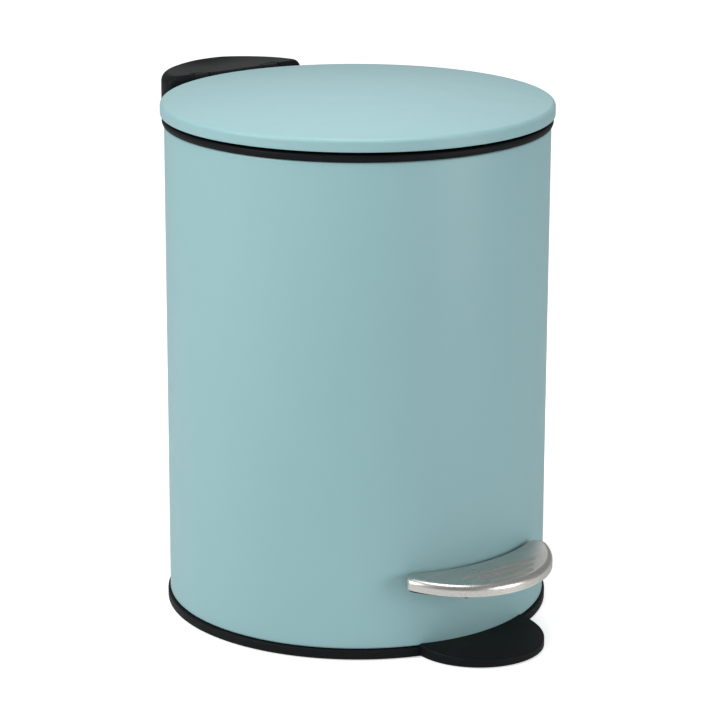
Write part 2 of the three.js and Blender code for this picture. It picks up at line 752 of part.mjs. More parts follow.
/** Cap on the rod's upper end, with a blind hole for the rod. */
function rodCap() {
  const under = rodTop - rodCapHeight;
  const hole = post(rodRadius + pinPlay, under - 1, under + rodCapHeight / 2 + 0.2, 0, rodY, 12);
  return post(rodCapRadius, under, rodTop, 0, rodY, 16).subtract(hole);
}

/** Block on the wall's inner face that guides the rod half way up. */
function rodGuide() {
  const half = guideWidth / 2;
  const back = Math.sqrt(wallInner * wallInner - half * half) - seatGap;
  return block([-half, rodY - rodRadius - 2.4, guideZ], [half, back, guideZ + guideHeight])
    .subtract(post(rodRadius + runGap, guideZ - 1, guideZ + guideHeight + 1, 0, rodY, 16));
}

// ---- Bucket ----

function innerBucket() {
  const flangeBottom = ledgeTop + seatGap;
  const flangeRadius = bucketMouthRadius + flangeReach;
  const footInner = bucketFootRadius - bucketSheet;
  const mouthInner = bucketMouthRadius - bucketSheet;
  const floorZ = bucketFloor + 1.5;
  let bucket = turned([
    [0, floorZ], [footInner - 6, floorZ], [footInner - 5, bucketFloor],
    [bucketFootRadius - 1.5, bucketFloor], [bucketFootRadius, floorZ],
    [bucketMouthRadius, flangeBottom], [flangeRadius, flangeBottom], [flangeRadius, flangeTop],
    [mouthInner, flangeTop], [footInner, bucketFloor + 5], [footInner - 2, floorZ + bucketSheet],
    [0, floorZ + bucketSheet],
  ]);
  for (const side of [-1, 1]) {
    bucket = bucket.add(bailLug(side));
  }
  return bucket;
}

/** Lug on the flange's inner edge that one end of the bail turns in. */
function bailLug(side) {
  const middle = side * (bucketMouthRadius - bucketSheet);
  const half = lugThickness / 2;
  const body = block(
    [middle - half, -lugWidth / 2, flangeTop - 1],
    [middle + half, lugWidth / 2, bailZ + bailRadius + 1.4],
  );
  return body.subtract(crossPin(bailRadius + pinPlay, middle - half - 1, middle + half + 1, 0, bailZ, 12));
}

/** Arc of the bail about the bin's axis, lying towards the pedal, between two angles in degrees. */
class BailArc extends THREE.Curve {
  constructor(from, to) {
    super();
    this.from = rad(from);
    this.to = rad(to);
  }

  getPoint(t) {
    const angle = this.from + t * (this.to - this.from);
    const r = bailCircle();
    return new THREE.Vector3(r * Math.cos(angle), r * Math.sin(angle), bailZ);
  }
}

/** Radius of the bail's arc, over the middle of the flange. */
function bailCircle() {
  return bucketMouthRadius + flangeReach / 2;
}

/** Wire bail: a half circle with both ends bent in to the lugs. */
function bucketBail() {
  let bail = tube(new BailArc(-180, 0), bailRadius, 28, 2);
  for (const side of [-1, 1]) {
    const outer = side * bailCircle();
    const inner = side * (bucketMouthRadius - bucketSheet - lugThickness / 2);
    bail = bail.add(crossPin(bailRadius, Math.min(outer, inner), Math.max(outer, inner), 0, bailZ, 12));
    bail = bail.add(solid(new THREE.SphereGeometry(bailRadius, 12, 8).translate(outer, 0, bailZ)));
  }
  return bail;
}

/** Plastic sleeve on the middle of the bail. */
function bailGrip() {
  const from = -90 - sleeveAngle / 2;
  const to = -90 + sleeveAngle / 2;
  return tube(new BailArc(from, to), sleeveRadius, 8, 3)
    .subtract(tube(new BailArc(from - 2, to + 2), bailRadius + seatGap, 10, 3));
}

// ---- Assembly ----

addPiece('body_shell', bodyShell(), paint());
addPiece('base', base(), plastic());
for (const [name, [x, y]] of Object.entries(padPlaces())) {
  addPiece(`foot_pad_${name}`, post(padRadius, 0, padThickness, x, y), rubber());
}
addPiece('top_rim', topRim(), plastic());
addPiece('rear_handle', rearHandle(), plastic());
addPiece('handle_screw_left', handleScrew(-screwSpacing / 2), zinc());
addPiece('handle_screw_right', handleScrew(screwSpacing / 2), zinc());
addPiece('hinge_pin', hingePin(), zinc());
addPiece('lid_shell', lidShell(), paint());
addPiece('lid_liner', lidLiner(), plastic());
addPiece('lid_bumper_front', bumper(-90), rubber());
addPiece('lid_bumper_left', bumper(150), rubber());
addPiece('lid_bumper_right', bumper(30), rubber());
addPiece('pedal_cap', pedalCap(), stainless());
addPiece('pedal_core', pedalCore(), plastic());
addPiece('pedal_lever', pedalLever(), zinc());
addPiece('pedal_screw_front', pedalScrew(pedalScrewYs[0]), zinc());
addPiece('pedal_screw_rear', pedalScrew(pedalScrewYs[1]), zinc());
addPiece('lever_pivot_pin', pivotPin(), zinc());
addPiece('pivot_clip_left', pivotClip(-1), zinc());
addPiece('pivot_clip_right', pivotClip(1), zinc());
addPiece('lever_stop_pad', leverStopPad(), rubber());
addPiece('push_rod', pushRod(), zinc());
addPiece('rod_cap', rodCap(), plastic());
addPiece('rod_guide', rodGuide(), plastic());
addPiece('inner_bucket', innerBucket(), greyPlastic());
addPiece('bucket_bail', bucketBail(), zinc());
addPiece('bail_grip', bailGrip(), plastic());

export default bin;
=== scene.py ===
import json

import bmesh
import bpy
import numpy as np
from mathutils import Matrix, Vector


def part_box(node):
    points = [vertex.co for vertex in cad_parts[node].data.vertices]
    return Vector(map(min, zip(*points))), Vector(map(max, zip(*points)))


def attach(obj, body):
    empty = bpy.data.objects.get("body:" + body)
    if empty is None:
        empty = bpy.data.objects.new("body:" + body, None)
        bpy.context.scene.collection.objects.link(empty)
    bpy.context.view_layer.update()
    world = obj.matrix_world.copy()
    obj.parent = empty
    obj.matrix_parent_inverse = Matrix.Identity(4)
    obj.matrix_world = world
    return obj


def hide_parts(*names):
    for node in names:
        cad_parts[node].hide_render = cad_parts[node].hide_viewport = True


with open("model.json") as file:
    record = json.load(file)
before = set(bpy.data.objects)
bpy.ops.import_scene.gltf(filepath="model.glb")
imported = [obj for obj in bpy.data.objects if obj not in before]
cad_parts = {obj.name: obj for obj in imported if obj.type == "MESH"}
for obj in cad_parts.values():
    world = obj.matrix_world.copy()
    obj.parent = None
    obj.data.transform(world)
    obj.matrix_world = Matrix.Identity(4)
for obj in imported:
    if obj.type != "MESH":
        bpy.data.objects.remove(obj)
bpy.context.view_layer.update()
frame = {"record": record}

MM = 0.001


# ---- Base -------------------------------------------------------------------
# One black polypropylene moulding: a floor with an outer ring, a collar that the steel wall
# slides over, a round foot at the front against tipping, and two ears for the lever's pivot.

base_low, base_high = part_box("base")
ring_radius = base_high.x
wall_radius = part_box("body_shell")[1].x
seat_gap, run_gap, pin_play = 0.3 * MM, 0.4 * MM, 0.15 * MM
past = 20 * MM
sheet = 0.8 * MM
collar_sheet = 2 * MM
ring_flat = 12 * MM
ring_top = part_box("body_shell")[0].z - seat_gap
collar_radius = wall_radius - sheet - seat_gap
ring_inner = collar_radius - ring_flat
floor_top = 5.4 * MM
floor_under = 3.2 * MM
foot_radius = 29.6 * MM
foot_centre = Vector((0, base_low.y + foot_radius, 0))
foot_back_top = 6.0 * MM
foot_tip_top = 4.2 * MM
pivot_low, pivot_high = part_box("lever_pivot_pin")
pivot_y, pivot_z = (pivot_low.y + pivot_high.y) / 2, (pivot_low.z + pivot_high.z) / 2
pivot_radius = (pivot_high.z - pivot_low.z) / 2
pivot_bore = pivot_radius + pin_play
lever_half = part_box("pedal_lever")[1].x


def rounded(corners, steps=6):
    """Closed outline whose corners, given as (across, up, turning radius), are arcs: each arc starts
    radius x tan(half the turn) before its corner and swings about a centre one radius to the side."""
    rows = np.array(corners, float)
    corner, radius = rows[:, :2], rows[:, 2]
    arriving = corner - np.roll(corner, 1, 0)
    leaving = np.roll(corner, -1, 0) - corner
    arriving /= np.linalg.norm(arriving, axis=1)[:, None]
    leaving /= np.linalg.norm(leaving, axis=1)[:, None]
    turn = np.arctan2(
        arriving[:, 0] * leaving[:, 1] - arriving[:, 1] * leaving[:, 0], (arriving * leaving).sum(1)
    )
    start = corner - arriving * (radius * np.tan(abs(turn) / 2))[:, None]
    aside = np.stack([-arriving[:, 1], arriving[:, 0]], 1) * np.sign(turn)[:, None]
    centre = start + aside * radius[:, None]
    swing = turn[:, None] * np.linspace(0, 1, steps + 1)
    arm = (start - centre)[:, :, None]
    across = centre[:, :1] + arm[:, 0] * np.cos(swing) - arm[:, 1] * np.sin(swing)
    up = centre[:, 1:] + arm[:, 0] * np.sin(swing) + arm[:, 1] * np.cos(swing)
    return np.stack([across, up], -1).reshape(-1, 2)


def grid_faces(rows, columns, wrap_rows=True, wrap_columns=True):
    """Quads between neighbouring rows and columns of a grid, joined end to start where it wraps."""
    row = np.arange(rows if wrap_rows else rows - 1)[:, None]
    column = np.arange(columns if wrap_columns else columns - 1)[None, :]
    next_row, next_column = (row + 1) % rows, (column + 1) % columns
    quads = [row * columns + column, row * columns + next_column,
             next_row * columns + next_column, next_row * columns + column]
    return np.stack(quads, -1).reshape(-1, 4)


def piece_from(name, points, faces, sharp=35):
    """Object at the origin from points and faces: doubles merged, faces outwards, smooth but for
    edges that turn by more than the sharp angle in degrees."""
    mesh = bpy.data.meshes.new(name)
    corners = np.asarray(points, float).reshape(-1, 3).tolist()
    mesh.from_pydata(corners, [], [list(map(int, face)) for face in faces])
    shell = bmesh.new()
    shell.from_mesh(mesh)
    bmesh.ops.remove_doubles(shell, verts=shell.verts, dist=2e-6)
    bmesh.ops.dissolve_degenerate(shell, edges=shell.edges, dist=1e-7)
    bmesh.ops.recalc_face_normals(shell, faces=shell.faces)
    shell.to_mesh(mesh)
    shell.free()
    mesh.shade_smooth()
    mesh.set_sharp_from_angle(angle=np.radians(sharp))
    piece = bpy.data.objects.new(name, mesh)
    bpy.context.scene.collection.objects.link(piece)
    return piece


def placed(across, aside, along, axis="z", centre=(0, 0, 0)):
    """Points with along on the named axis and the other two round it, moved to centre."""
    order = {"x": (along, across, aside), "y": (across, along, aside), "z": (across, aside, along)}[axis]
    return np.stack(np.broadcast_arrays(*order), -1) + np.array(centre, float)


def turned(name, profile, sides=180, axis="z", centre=(0, 0, 0), closed=True, sharp=35):
    """Solid of revolution: each (radius, height) of the profile goes round the axis as
    radius cos t, radius sin t, height. closed joins the profile's end to its start, which one that
    runs from axis to axis can do without."""
    t = np.linspace(0, 2 * np.pi, sides, endpoint=False)[:, None]
    radius, height = np.asarray(profile, float).T
    points = placed(radius * np.cos(t), radius * np.sin(t), height, axis, centre)
    return piece_from(name, points, grid_faces(sides, len(radius), True, closed), sharp)


def prism(name, outline, start, end, axis="x", sharp=35):
    """Outline carried straight along an axis from start to end, with flat ends."""
    outline = np.asarray(outline, float)
    count = len(outline)
    points = placed(outline[:, 0], outline[:, 1], np.array([start, end])[:, None], axis)
    ends = [list(range(count)), list(range(count, 2 * count))]
    return piece_from(name, points, grid_faces(2, count, False, True).tolist() + ends, sharp)


def joined(piece, added=(), cut=(), sharp=35):
    """The piece with others fused on and others cut away, as one closed mesh."""
    for tool, operation in [(t, "UNION") for t in added] + [(t, "DIFFERENCE") for t in cut]:
        step = piece.modifiers.new(operation, "BOOLEAN")
        step.operation, step.solver, step.object = operation, "EXACT", tool
        graph = bpy.context.evaluated_depsgraph_get()
        shape = bpy.data.meshes.new_from_object(piece.evaluated_get(graph))
        piece.modifiers.clear()
        piece.data = shape
        bpy.data.objects.remove(tool)
    piece.data.shade_smooth()
    piece.data.set_sharp_from_angle(angle=np.radians(sharp))
    return piece


def eased(piece, width, segments=2, angle=40):
    """Breaks the piece's sharp edges with a narrow round."""
    edge = piece.modifiers.new("edge", "BEVEL")
    edge.width, edge.segments, edge.angle_limit = width, segments, np.radians(angle)
    edge.limit_method, edge.use_clamp_overlap = "ANGLE", True
    return piece


def finish(name, colour, roughness, metallic=0.0, specular=0.5):
    """New material with a Principled shader: the material, its node tree and the shader."""
    material = bpy.data.materials.new(name)
    material.use_nodes = True
    tree = material.node_tree
    shader = tree.nodes["Principled BSDF"]
    shader.inputs["Base Color"].default_value = (*colour, 1)
    shader.inputs["Roughness"].default_value = roughness
    shader.inputs["Metallic"].default_value = metallic
    shader.inputs["Specular IOR Level"].default_value = specular
    return material, tree, shader


def add_node(tree, kind, **inputs):
    """Node of a kind with some of its inputs set: a value, or a socket to link from."""
    node = tree.nodes.new(kind)
    for key, value in inputs.items():
        socket = node.inputs[key.replace("_", " ")]
        if isinstance(value, bpy.types.NodeSocket):
            tree.links.new(value, socket)
        else:
            socket.default_value = value
    return node


def noise(tree, scale, detail=2.0, stretch=(1, 1, 1)):
    """Noise on the object's own coordinates, in cycles a metre, drawn out along an axis by stretch."""
    place = add_node(tree, "ShaderNodeTexCoord")
    sized = add_node(tree, "ShaderNodeMapping", Vector=place.outputs["Object"], Scale=stretch)
    return add_node(
        tree, "ShaderNodeTexNoise", Vector=sized.outputs[0], Scale=scale, Detail=detail
    ).outputs["Fac"]


def spread(tree, value, low, high, start=0.3, end=0.7):
    """Maps a noise value from start..end to low..high."""
    return add_node(
        tree, "ShaderNodeMapRange",
        Value=value, From_Min=start, From_Max=end, To_Min=low, To_Max=high,
    ).outputs[0]


def shades(tree, shader, value, dark, light):
    """Base colour between two shades by a noise value."""
    ramp = tree.nodes.new("ShaderNodeValToRGB")
    ramp.color_ramp.elements[0].position, ramp.color_ramp.elements[0].color = 0.3, (*dark, 1)
    ramp.color_ramp.elements[1].position, ramp.color_ramp.elements[1].color = 0.7, (*light, 1)
    tree.links.new(value, ramp.inputs[0])
    tree.links.new(ramp.outputs[0], shader.inputs["Base Color"])


def gloss(tree, shader, value, low, high):
    """Roughness between two values by a noise value."""
    tree.links.new(spread(tree, value, low, high), shader.inputs["Roughness"])


def relief(tree, shader, *layers):
    """Bump from layers of (height value, depth in metres), one on another."""
    normal = None
    for height, depth in layers:
        bump = add_node(tree, "ShaderNodeBump", Height=height, Distance=depth, Strength=1.0)
        if normal:
            tree.links.new(normal, bump.inputs["Normal"])
        normal = bump.outputs[0]
    tree.links.new(normal, shader.inputs["Normal"])


def black_plastic():
    """Satin black polypropylene: fine spark-eroded grain, faint flow marks and rubbed patches."""
    material, tree, shader = finish("black_plastic", (0.006, 0.0065, 0.007), 0.5, specular=0.07)
    grain, marks = noise(tree, 2600, 3.0), noise(tree, 28, 4.0)
    shades(tree, shader, marks, (0.005, 0.0055, 0.006), (0.008, 0.0085, 0.009))
    gloss(tree, shader, marks, 0.44, 0.56)
    relief(tree, shader, (grain, 0.00004), (noise(tree, 160, 2.0), 0.00006))
    return material


plastic = black_plastic()


def given(piece, material, body, slot, *nodes):
    """Gives a piece its material, its body and the parts that it stands for; the slot is not used."""
    piece.data.materials.clear()
    piece.data.materials.append(material)
    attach(piece, body)
    if nodes:
        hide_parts(*nodes)


base_ring = turned("base_moulding", rounded([
    (ring_inner, base_low.z, 0.4 * MM), (ring_radius, base_low.z, 0.7 * MM),
    (ring_radius, ring_top, 0.6 * MM), (collar_radius, ring_top, 0.2 * MM),
    (collar_radius, base_high.z, 0.8 * MM), (collar_radius - collar_sheet, base_high.z, 0.6 * MM),
    (collar_radius - collar_sheet, floor_top, 1.2 * MM),
    (0, floor_top, 0), (0, floor_under, 0), (ring_inner, floor_under, 0.6 * MM),
]))


def foot_disc():
    """Round foot: turned disc with eased edges, whose top drops to the tip in proportion to -y."""
    profile = rounded([
        (0, base_low.z, 0), (foot_radius, base_low.z, 0.6 * MM), (foot_radius, foot_back_top, 1.1 * MM),
        (0, foot_back_top, 0),
    ], 8)
    disc = turned("foot", profile, 200, centre=foot_centre)
    points = np.empty(len(disc.data.vertices) * 3)
    disc.data.vertices.foreach_get("co", points)
    points = points.reshape(-1, 3)
    share = (points[:, 2] - base_low.z) / (foot_back_top - base_low.z)
    forward = np.clip((foot_centre.y - points[:, 1]) / foot_radius, -1, 1)
    points[:, 2] -= share * forward * (foot_back_top - foot_tip_top)
    disc.data.vertices.foreach_set("co", points.ravel())
    return disc


def cylinder(name, radius, start, end, axis="z", centre=(0, 0, 0), sides=64):
    """Plain closed cylinder, used to cut with."""
    return turned(name, [(0, start), (radius, start), (radius, end), (0, end)], sides, axis, centre)


def box_solid(name, low, high):
    """Closed box between two corners, used to cut with or to fuse on."""
    corners = [(low[1], low[2]), (high[1], low[2]), (high[1], high[2]), (low[1], high[2])]
    return prism(name, corners, low[0], high[0])


ear_inside = lever_half + run_gap
ear_thickness, ear_foot, eye_radius = 3 * MM, 8 * MM, 5.2 * MM
ear_outline = rounded([
    (pivot_y - ear_foot, floor_top - 1 * MM, 0), (pivot_y + ear_foot, floor_top - 1 * MM, 0),
    (pivot_y + eye_radius, pivot_z + eye_radius, eye_radius * 0.98),
    (pivot_y - eye_radius, pivot_z + eye_radius, eye_radius * 0.98),
], 10)
ears = [
    prism("ear", ear_outline, side * ear_inside, side * (ear_inside + ear_thickness)) for side in (-1, 1)
]
pin_hole = cylinder("hole", pivot_bore, -past, past, "x", (0, pivot_y, pivot_z))
wall_room = cylinder("room", wall_radius + seat_gap, ring_top, ring_top + past, sides=180)
inside_room = cylinder("room", ring_inner + 2 * MM, -past, ring_top + past, sides=180)
foot = joined(foot_disc(), cut=[wall_room, inside_room])
pad_nodes = ["foot_pad_rear", "foot_pad_left", "foot_pad_right", "foot_pad_front"]
pad_centres = [(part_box(node)[0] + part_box(node)[1]) / 2 for node in pad_nodes]
pad_low, pad_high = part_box(pad_nodes[0])
pad_radius, pad_top = (pad_high.x - pad_low.x) / 2, pad_high.z
pockets = [
    cylinder("pocket", pad_radius + seat_gap, -past, pad_top + seat_gap, centre=(place.x, place.y, 0))
    for place in pad_centres
]
joined(base_ring, added=[foot, *ears], cut=[pin_hole, *pockets])
given(base_ring, plastic, "bin", "black_plastic", "base")


# ---- Foot pads --------------------------------------------------------------
# Four round rubber pads, pressed into pockets under the ring and the foot. They carry the bin
# and keep it from sliding when the pedal is pressed.

def black_rubber():
    """Matt black rubber with a bloomed, slightly uneven skin."""
    material, tree, shader = finish("black_rubber", (0.016, 0.016, 0.016), 0.8, specular=0.3)
    bloom = noise(tree, 220, 3.0)
    shades(tree, shader, bloom, (0.012, 0.012, 0.012), (0.024, 0.023, 0.022))
    gloss(tree, shader, bloom, 0.72, 0.9)
    relief(tree, shader, (noise(tree, 1500, 2.0), 0.00006))
    return material


rubber = black_rubber()
for node, centre in zip(pad_nodes, pad_centres):
    pad = turned(node + "_rubber", rounded([
        (0, 0, 0), (pad_radius - 1.6 * MM, 0, 0.2 * MM), (pad_radius - 1.9 * MM, 0.25 * MM, 0.1 * MM),
        (pad_radius - 1.2 * MM, 0.25 * MM, 0.1 * MM), (pad_radius - 0.9 * MM, 0, 0.2 * MM),
        (pad_radius, 0, 0.3 * MM), (pad_radius, pad_top, 0.2 * MM), (0, pad_top, 0),
    ], 4), 72, centre=(centre.x, centre.y, 0))
    given(pad, rubber, "bin", "black_rubber", node)


# ---- Lever pivot ------------------------------------------------------------
# A zinc-plated steel pin through both ears, held by a push-on clip at each end, and a rubber
# block glued to the floor where the lever's leg comes down.

def zinc_steel():
    """Zinc-plated steel: cool grey with a mottled crystal pattern and drawn scratches."""
    material, tree, shader = finish("zinc_steel", (0.42, 0.43, 0.44), 0.35, 1.0)
    mottle, drawn = noise(tree, 420, 3.0), noise(tree, 900, 2.0, (0.06, 1, 1))
    shades(tree, shader, mottle, (0.34, 0.35, 0.37), (0.52, 0.52, 0.51))
    gloss(tree, shader, mottle, 0.26, 0.46)
    relief(tree, shader, (drawn, 0.00003), (mottle, 0.00002))
    return material


zinc = zinc_steel()


def pin_piece(name, radius, start, end, axis, centre, chamfer):
    """Straight round pin with chamfered ends."""
    profile = rounded([(0, start, 0), (radius, start, chamfer), (radius, end, chamfer), (0, end, 0)], 5)
    return turned(name, profile, 64, axis, centre)


pivot_centre = (0, pivot_y, pivot_z)
pivot_pin = pin_piece(
    "pivot_pin_steel", pivot_radius, pivot_low.x, pivot_high.x, "x", pivot_centre, 0.5 * MM
)
given(pivot_pin, zinc, "bin", "zinc_steel", "lever_pivot_pin")
for side in ("left", "right"):
    clip_low, clip_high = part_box("pivot_clip_" + side)
    clip_radius = (clip_high.z - clip_low.z) / 2
    clip = turned("clip_" + side, rounded([
        (pivot_bore, clip_low.x, 0.1 * MM), (clip_radius, clip_low.x, 0.35 * MM),
        (clip_radius, clip_high.x, 0.35 * MM), (pivot_bore, clip_high.x, 0.1 * MM),
    ], 4), 64, "x", pivot_centre)
    given(clip, zinc, "bin", "zinc_steel", "pivot_clip_" + side)


def rounded_block(name, low, high, edge):
    """Box with eased edges."""
    return eased(box_solid(name, low, high), edge, 3)


stop_block = rounded_block("stop_block", *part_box("lever_stop_pad"), 0.3 * MM)
given(stop_block, rubber, "bin", "black_rubber", "lever_stop_pad")


# ---- Pedal lever ------------------------------------------------------------
# One bent strip of zinc-plated steel: a tongue under the pedal, a leg down inside the wall and a
# straight run below the bucket to the rod, with an eye round the pivot pin.

lever_low, lever_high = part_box("pedal_lever")
strip = 2.5 * MM
run_under = 15.4 * MM
tongue_top = 35.4 * MM
leg_front = -77.25 * MM
bend = 1.6 * MM
pedal_shank = 1.5 * MM
lever_hole = pedal_shank + 0.2 * MM
lever_outline = rounded([
    (lever_low.y, tongue_top, 0), (leg_front + strip, tongue_top, bend + strip),
    (leg_front + strip, run_under + strip, bend), (lever_high.y, run_under + strip, 0),
    (lever_high.y, run_under, 0), (leg_front, run_under, bend + strip),
    (leg_front, tongue_top - strip, bend), (lever_low.y, tongue_top - strip, 0),
], 8)
pedal_screws = ("pedal_screw_front", "pedal_screw_rear")
screw_ys = [(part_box(node)[0].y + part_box(node)[1].y) / 2 for node in pedal_screws]
lever = prism("lever_strip", lever_outline, -lever_half, lever_half)
eye = cylinder("eye", eye_radius, -lever_half, lever_half, "x", pivot_centre)
holes = [cylinder("hole", pivot_bore, -past, past, "x", pivot_centre)]
holes += [
    cylinder("hole", lever_hole, tongue_top - past, tongue_top + past, "z", (0, y, 0)) for y in screw_ys
]
joined(lever, added=[eye], cut=holes)
given(eased(lever, 0.25 * MM), zinc, "pedal", "zinc_steel", "pedal_lever")


# ---- Wall -------------------------------------------------------------------
# Sheet steel rolled to a cylinder, seamed down the back and powder coated in pastel teal. Its
# edges are curled in. It has a slot for the lever at the front and two holes for the grip's screws.

def teal_paint():
    """Matt pastel powder coat: fine orange peel, faint cloudiness and a soft even gloss."""
    material, tree, shader = finish("teal_paint", (0.235, 0.395, 0.415), 0.42, specular=0.35)
    cloud, peel = noise(tree, 9, 3.0), noise(tree, 750, 2.0)
    shades(tree, shader, cloud, (0.230, 0.388, 0.408), (0.240, 0.402, 0.422))
    gloss(tree, shader, noise(tree, 60, 3.0), 0.40, 0.47)
    relief(tree, shader, (peel, 0.00003), (noise(tree, 4200, 1.0), 0.000008))
    return material


paint = teal_paint()
wall_low, wall_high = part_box("body_shell")
curl = 1.0 * MM
slot_half = lever_half + 2 * run_gap
joints = {joint["name"]: joint for joint in frame["record"]["behaviour"]["joints"]}
press = np.radians(joints["pedal_press"]["range_deg"][1])
slot_drop = (wall_radius + pivot_y) * np.tan(press)
slot_low = pivot_z + (tongue_top - strip - pivot_z) / np.cos(press) - slot_drop - seat_gap
slot_high = tongue_top + 2 * run_gap
screw_low, screw_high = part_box("handle_screw_left")
screw_z = (screw_low.z + screw_high.z) / 2
screw_x = (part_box("handle_screw_right")[0].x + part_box("handle_screw_right")[1].x) / 2
hole_half = 1.8 * MM


def wall_grid():
    """Points of the wall's outside. The radius shrinks by curl - sqrt(curl^2 - d^2) within a curl of
    either edge, and by a narrow bell-shaped groove along the seam."""
    columns = np.linspace(-np.pi, np.pi, 361)[:-1]
    marks = [-np.pi / 2 + s * np.arcsin(slot_half / wall_radius) for s in (-1, 1)]
    for x in (-screw_x, screw_x):
        marks += [np.pi / 2 - np.arcsin((x + s * hole_half) / wall_radius) for s in (-1, 1)]
    seam = np.pi / 2 + np.linspace(-1.6, 1.6, 15) * MM / wall_radius
    columns = np.sort(np.concatenate([columns, marks, seam]))
    edge = np.sin(np.linspace(0, np.pi / 2, 7)) * curl
    low, high = wall_low.z + curl, wall_high.z - curl
    rows = np.concatenate([
        low - edge, high + edge, np.linspace(low, high, 40),
        [slot_low, slot_high, screw_z - hole_half, screw_z + hole_half],
    ])
    rows = np.unique(np.round(rows, 7))
    from_edge = np.minimum(rows - wall_low.z, wall_high.z - rows)
    over = np.clip(curl - from_edge, 0, curl)
    inset = curl - np.sqrt(curl ** 2 - over ** 2)
    along = (columns - np.pi / 2) * wall_radius
    groove = 0.35 * MM * np.exp(-((along / (0.45 * MM)) ** 2))
    radius = wall_radius - inset[:, None] * 0.7 - groove[None, :]
    return placed(radius * np.cos(columns), radius * np.sin(columns), rows[:, None]), rows, columns


def wall_faces(rows, columns):
    """Grid faces but for those whose middle falls in the lever's slot or in a screw's hole."""
    faces = grid_faces(len(rows), len(columns), False, True)
    row, column = faces[:, 0] // len(columns), faces[:, 0] % len(columns)
    z = (rows[row] + rows[row + 1]) / 2
    step = (columns[(column + 1) % len(columns)] - columns[column]) % (2 * np.pi)
    turn = columns[column] + step / 2
    x, y = wall_radius * np.cos(turn), wall_radius * np.sin(turn)
    in_slot = (y < 0) & (abs(x) < slot_half) & (z > slot_low) & (z < slot_high)
    in_hole = (y > 0) & (abs(abs(x) - screw_x) < hole_half) & (abs(z - screw_z) < hole_half)
    return faces[~(in_slot | in_hole)]


wall_points, wall_rows, wall_columns = wall_grid()
wall = piece_from("wall_sheet", wall_points, wall_faces(wall_rows, wall_columns), 60)
thick = wall.modifiers.new("sheet", "SOLIDIFY")
thick.thickness, thick.offset, thick.use_even_offset = sheet, -1, True
given(wall, paint, "bin", "teal_paint", "body_shell")


# ---- Rod guide --------------------------------------------------------------
# Small black block clipped to the wall's inner face at the back, with a hole that keeps the push
# rod upright.

guide_low, guide_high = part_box("rod_guide")
rod_low, rod_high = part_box("push_rod")
rod_radius = (rod_high.x - rod_low.x) / 2
rod_y = (rod_high.y + rod_low.y) / 2
guide = joined(
    box_solid("guide_block", guide_low, guide_high),
    cut=[cylinder(
        "hole", rod_radius + run_gap, guide_low.z - past, guide_high.z + past, "z", (0, rod_y, 0), 48
    )],
)
given(eased(guide, 0.5 * MM, 3), plastic, "bin", "black_plastic", "rod_guide")


# ---- Rim ring ---------------------------------------------------------------
# Black polypropylene ring snapped over the wall's top edge. Its flange is the dark band under the
# lid, its skirt grips the sheet inside, and its ledge carries the bucket.

rim_low, rim_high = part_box("top_rim")
rim_radius = rim_high.x
skirt_outer = collar_radius
skirt_inner = skirt_outer - collar_sheet
ledge_reach, ledge_drop, ledge_sheet = 7.5 * MM, 8 * MM, 1.8 * MM
ledge_inner = skirt_inner - ledge_reach
ledge_top = rim_high.z - ledge_drop
ledge_under = ledge_top - ledge_sheet
rim_under = wall_high.z + seat_gap
arm_x, arm_half = 20 * MM, 4 * MM
rim = turned("rim_ring", rounded([
    (skirt_inner, rim_low.z, 0.5 * MM), (skirt_outer, rim_low.z, 0.6 * MM),
    (skirt_outer, rim_under, 0.1 * MM), (rim_radius - 0.5 * MM, rim_under, 0.3 * MM),
    (rim_radius, rim_under + 1.2 * MM, 1.2 * MM), (rim_radius, rim_high.z, 0.9 * MM),
    (skirt_inner, rim_high.z, 0.8 * MM), (skirt_inner, ledge_top, 0.8 * MM),
    (ledge_inner, ledge_top, 0.5 * MM), (ledge_inner, ledge_under, 0.5 * MM),
    (skirt_inner, ledge_under, 0.6 * MM),
]), 240)
cap_low, cap_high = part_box("rod_cap")
cap_radius = (cap_high.x - cap_low.x) / 2
slot_reach = arm_half + run_gap
notch_y = skirt_inner - past
notches = [
    box_solid("notch", (x - slot_reach, notch_y, rim_under - 0.1 * MM),
              (x + slot_reach, rim_radius + past, rim_high.z + 1 * MM))
    for x in (-arm_x, arm_x)
]
crank_half = 3 * MM
crank_room = crank_half + 1 * MM
pocket = box_solid(
    "pocket", (-crank_room, notch_y, ledge_top + 0.5 * MM),
    (crank_room, skirt_outer - 0.7 * MM, rim_high.z + past),
)
cap_hole = cylinder(
    "hole", cap_radius + run_gap, ledge_under - 1 * MM, ledge_top + 2 * MM, "z", (0, rod_y, 0)
)
joined(rim, cut=[*notches, pocket, cap_hole])
given(rim, plastic, "bin", "black_plastic", "top_rim")


# ---- Rear grip --------------------------------------------------------------
# Black polypropylene grip and hinge housing, screwed to the wall from inside. A curved plate lies
# on the wall, a hood with a dished top and a hanging lip makes the grip, and the hood's nose
# holds the hinge pin between and beside the lid's two knuckles.

grip_low, grip_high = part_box("rear_handle")
grip_half = grip_high.x
pin_low, pin_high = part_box("hinge_pin")
hinge_y, hinge_z = (pin_low.y + pin_high.y) / 2, (pin_low.z + pin_high.z) / 2
hinge_radius = (pin_high.z - pin_low.z) / 2
hinge_bore = hinge_radius + pin_play
knuckle = 3.4 * MM
nose_y = hinge_y - knuckle
hood_middle_y, hood_centre_y, hood_front = 86 * MM, 97 * MM, 14 * MM
grip_lip = 4.5 * MM
lip_bottom = 212 * MM
under_roof = grip_high.z - 6.5 * MM
front_wall = 4 * MM


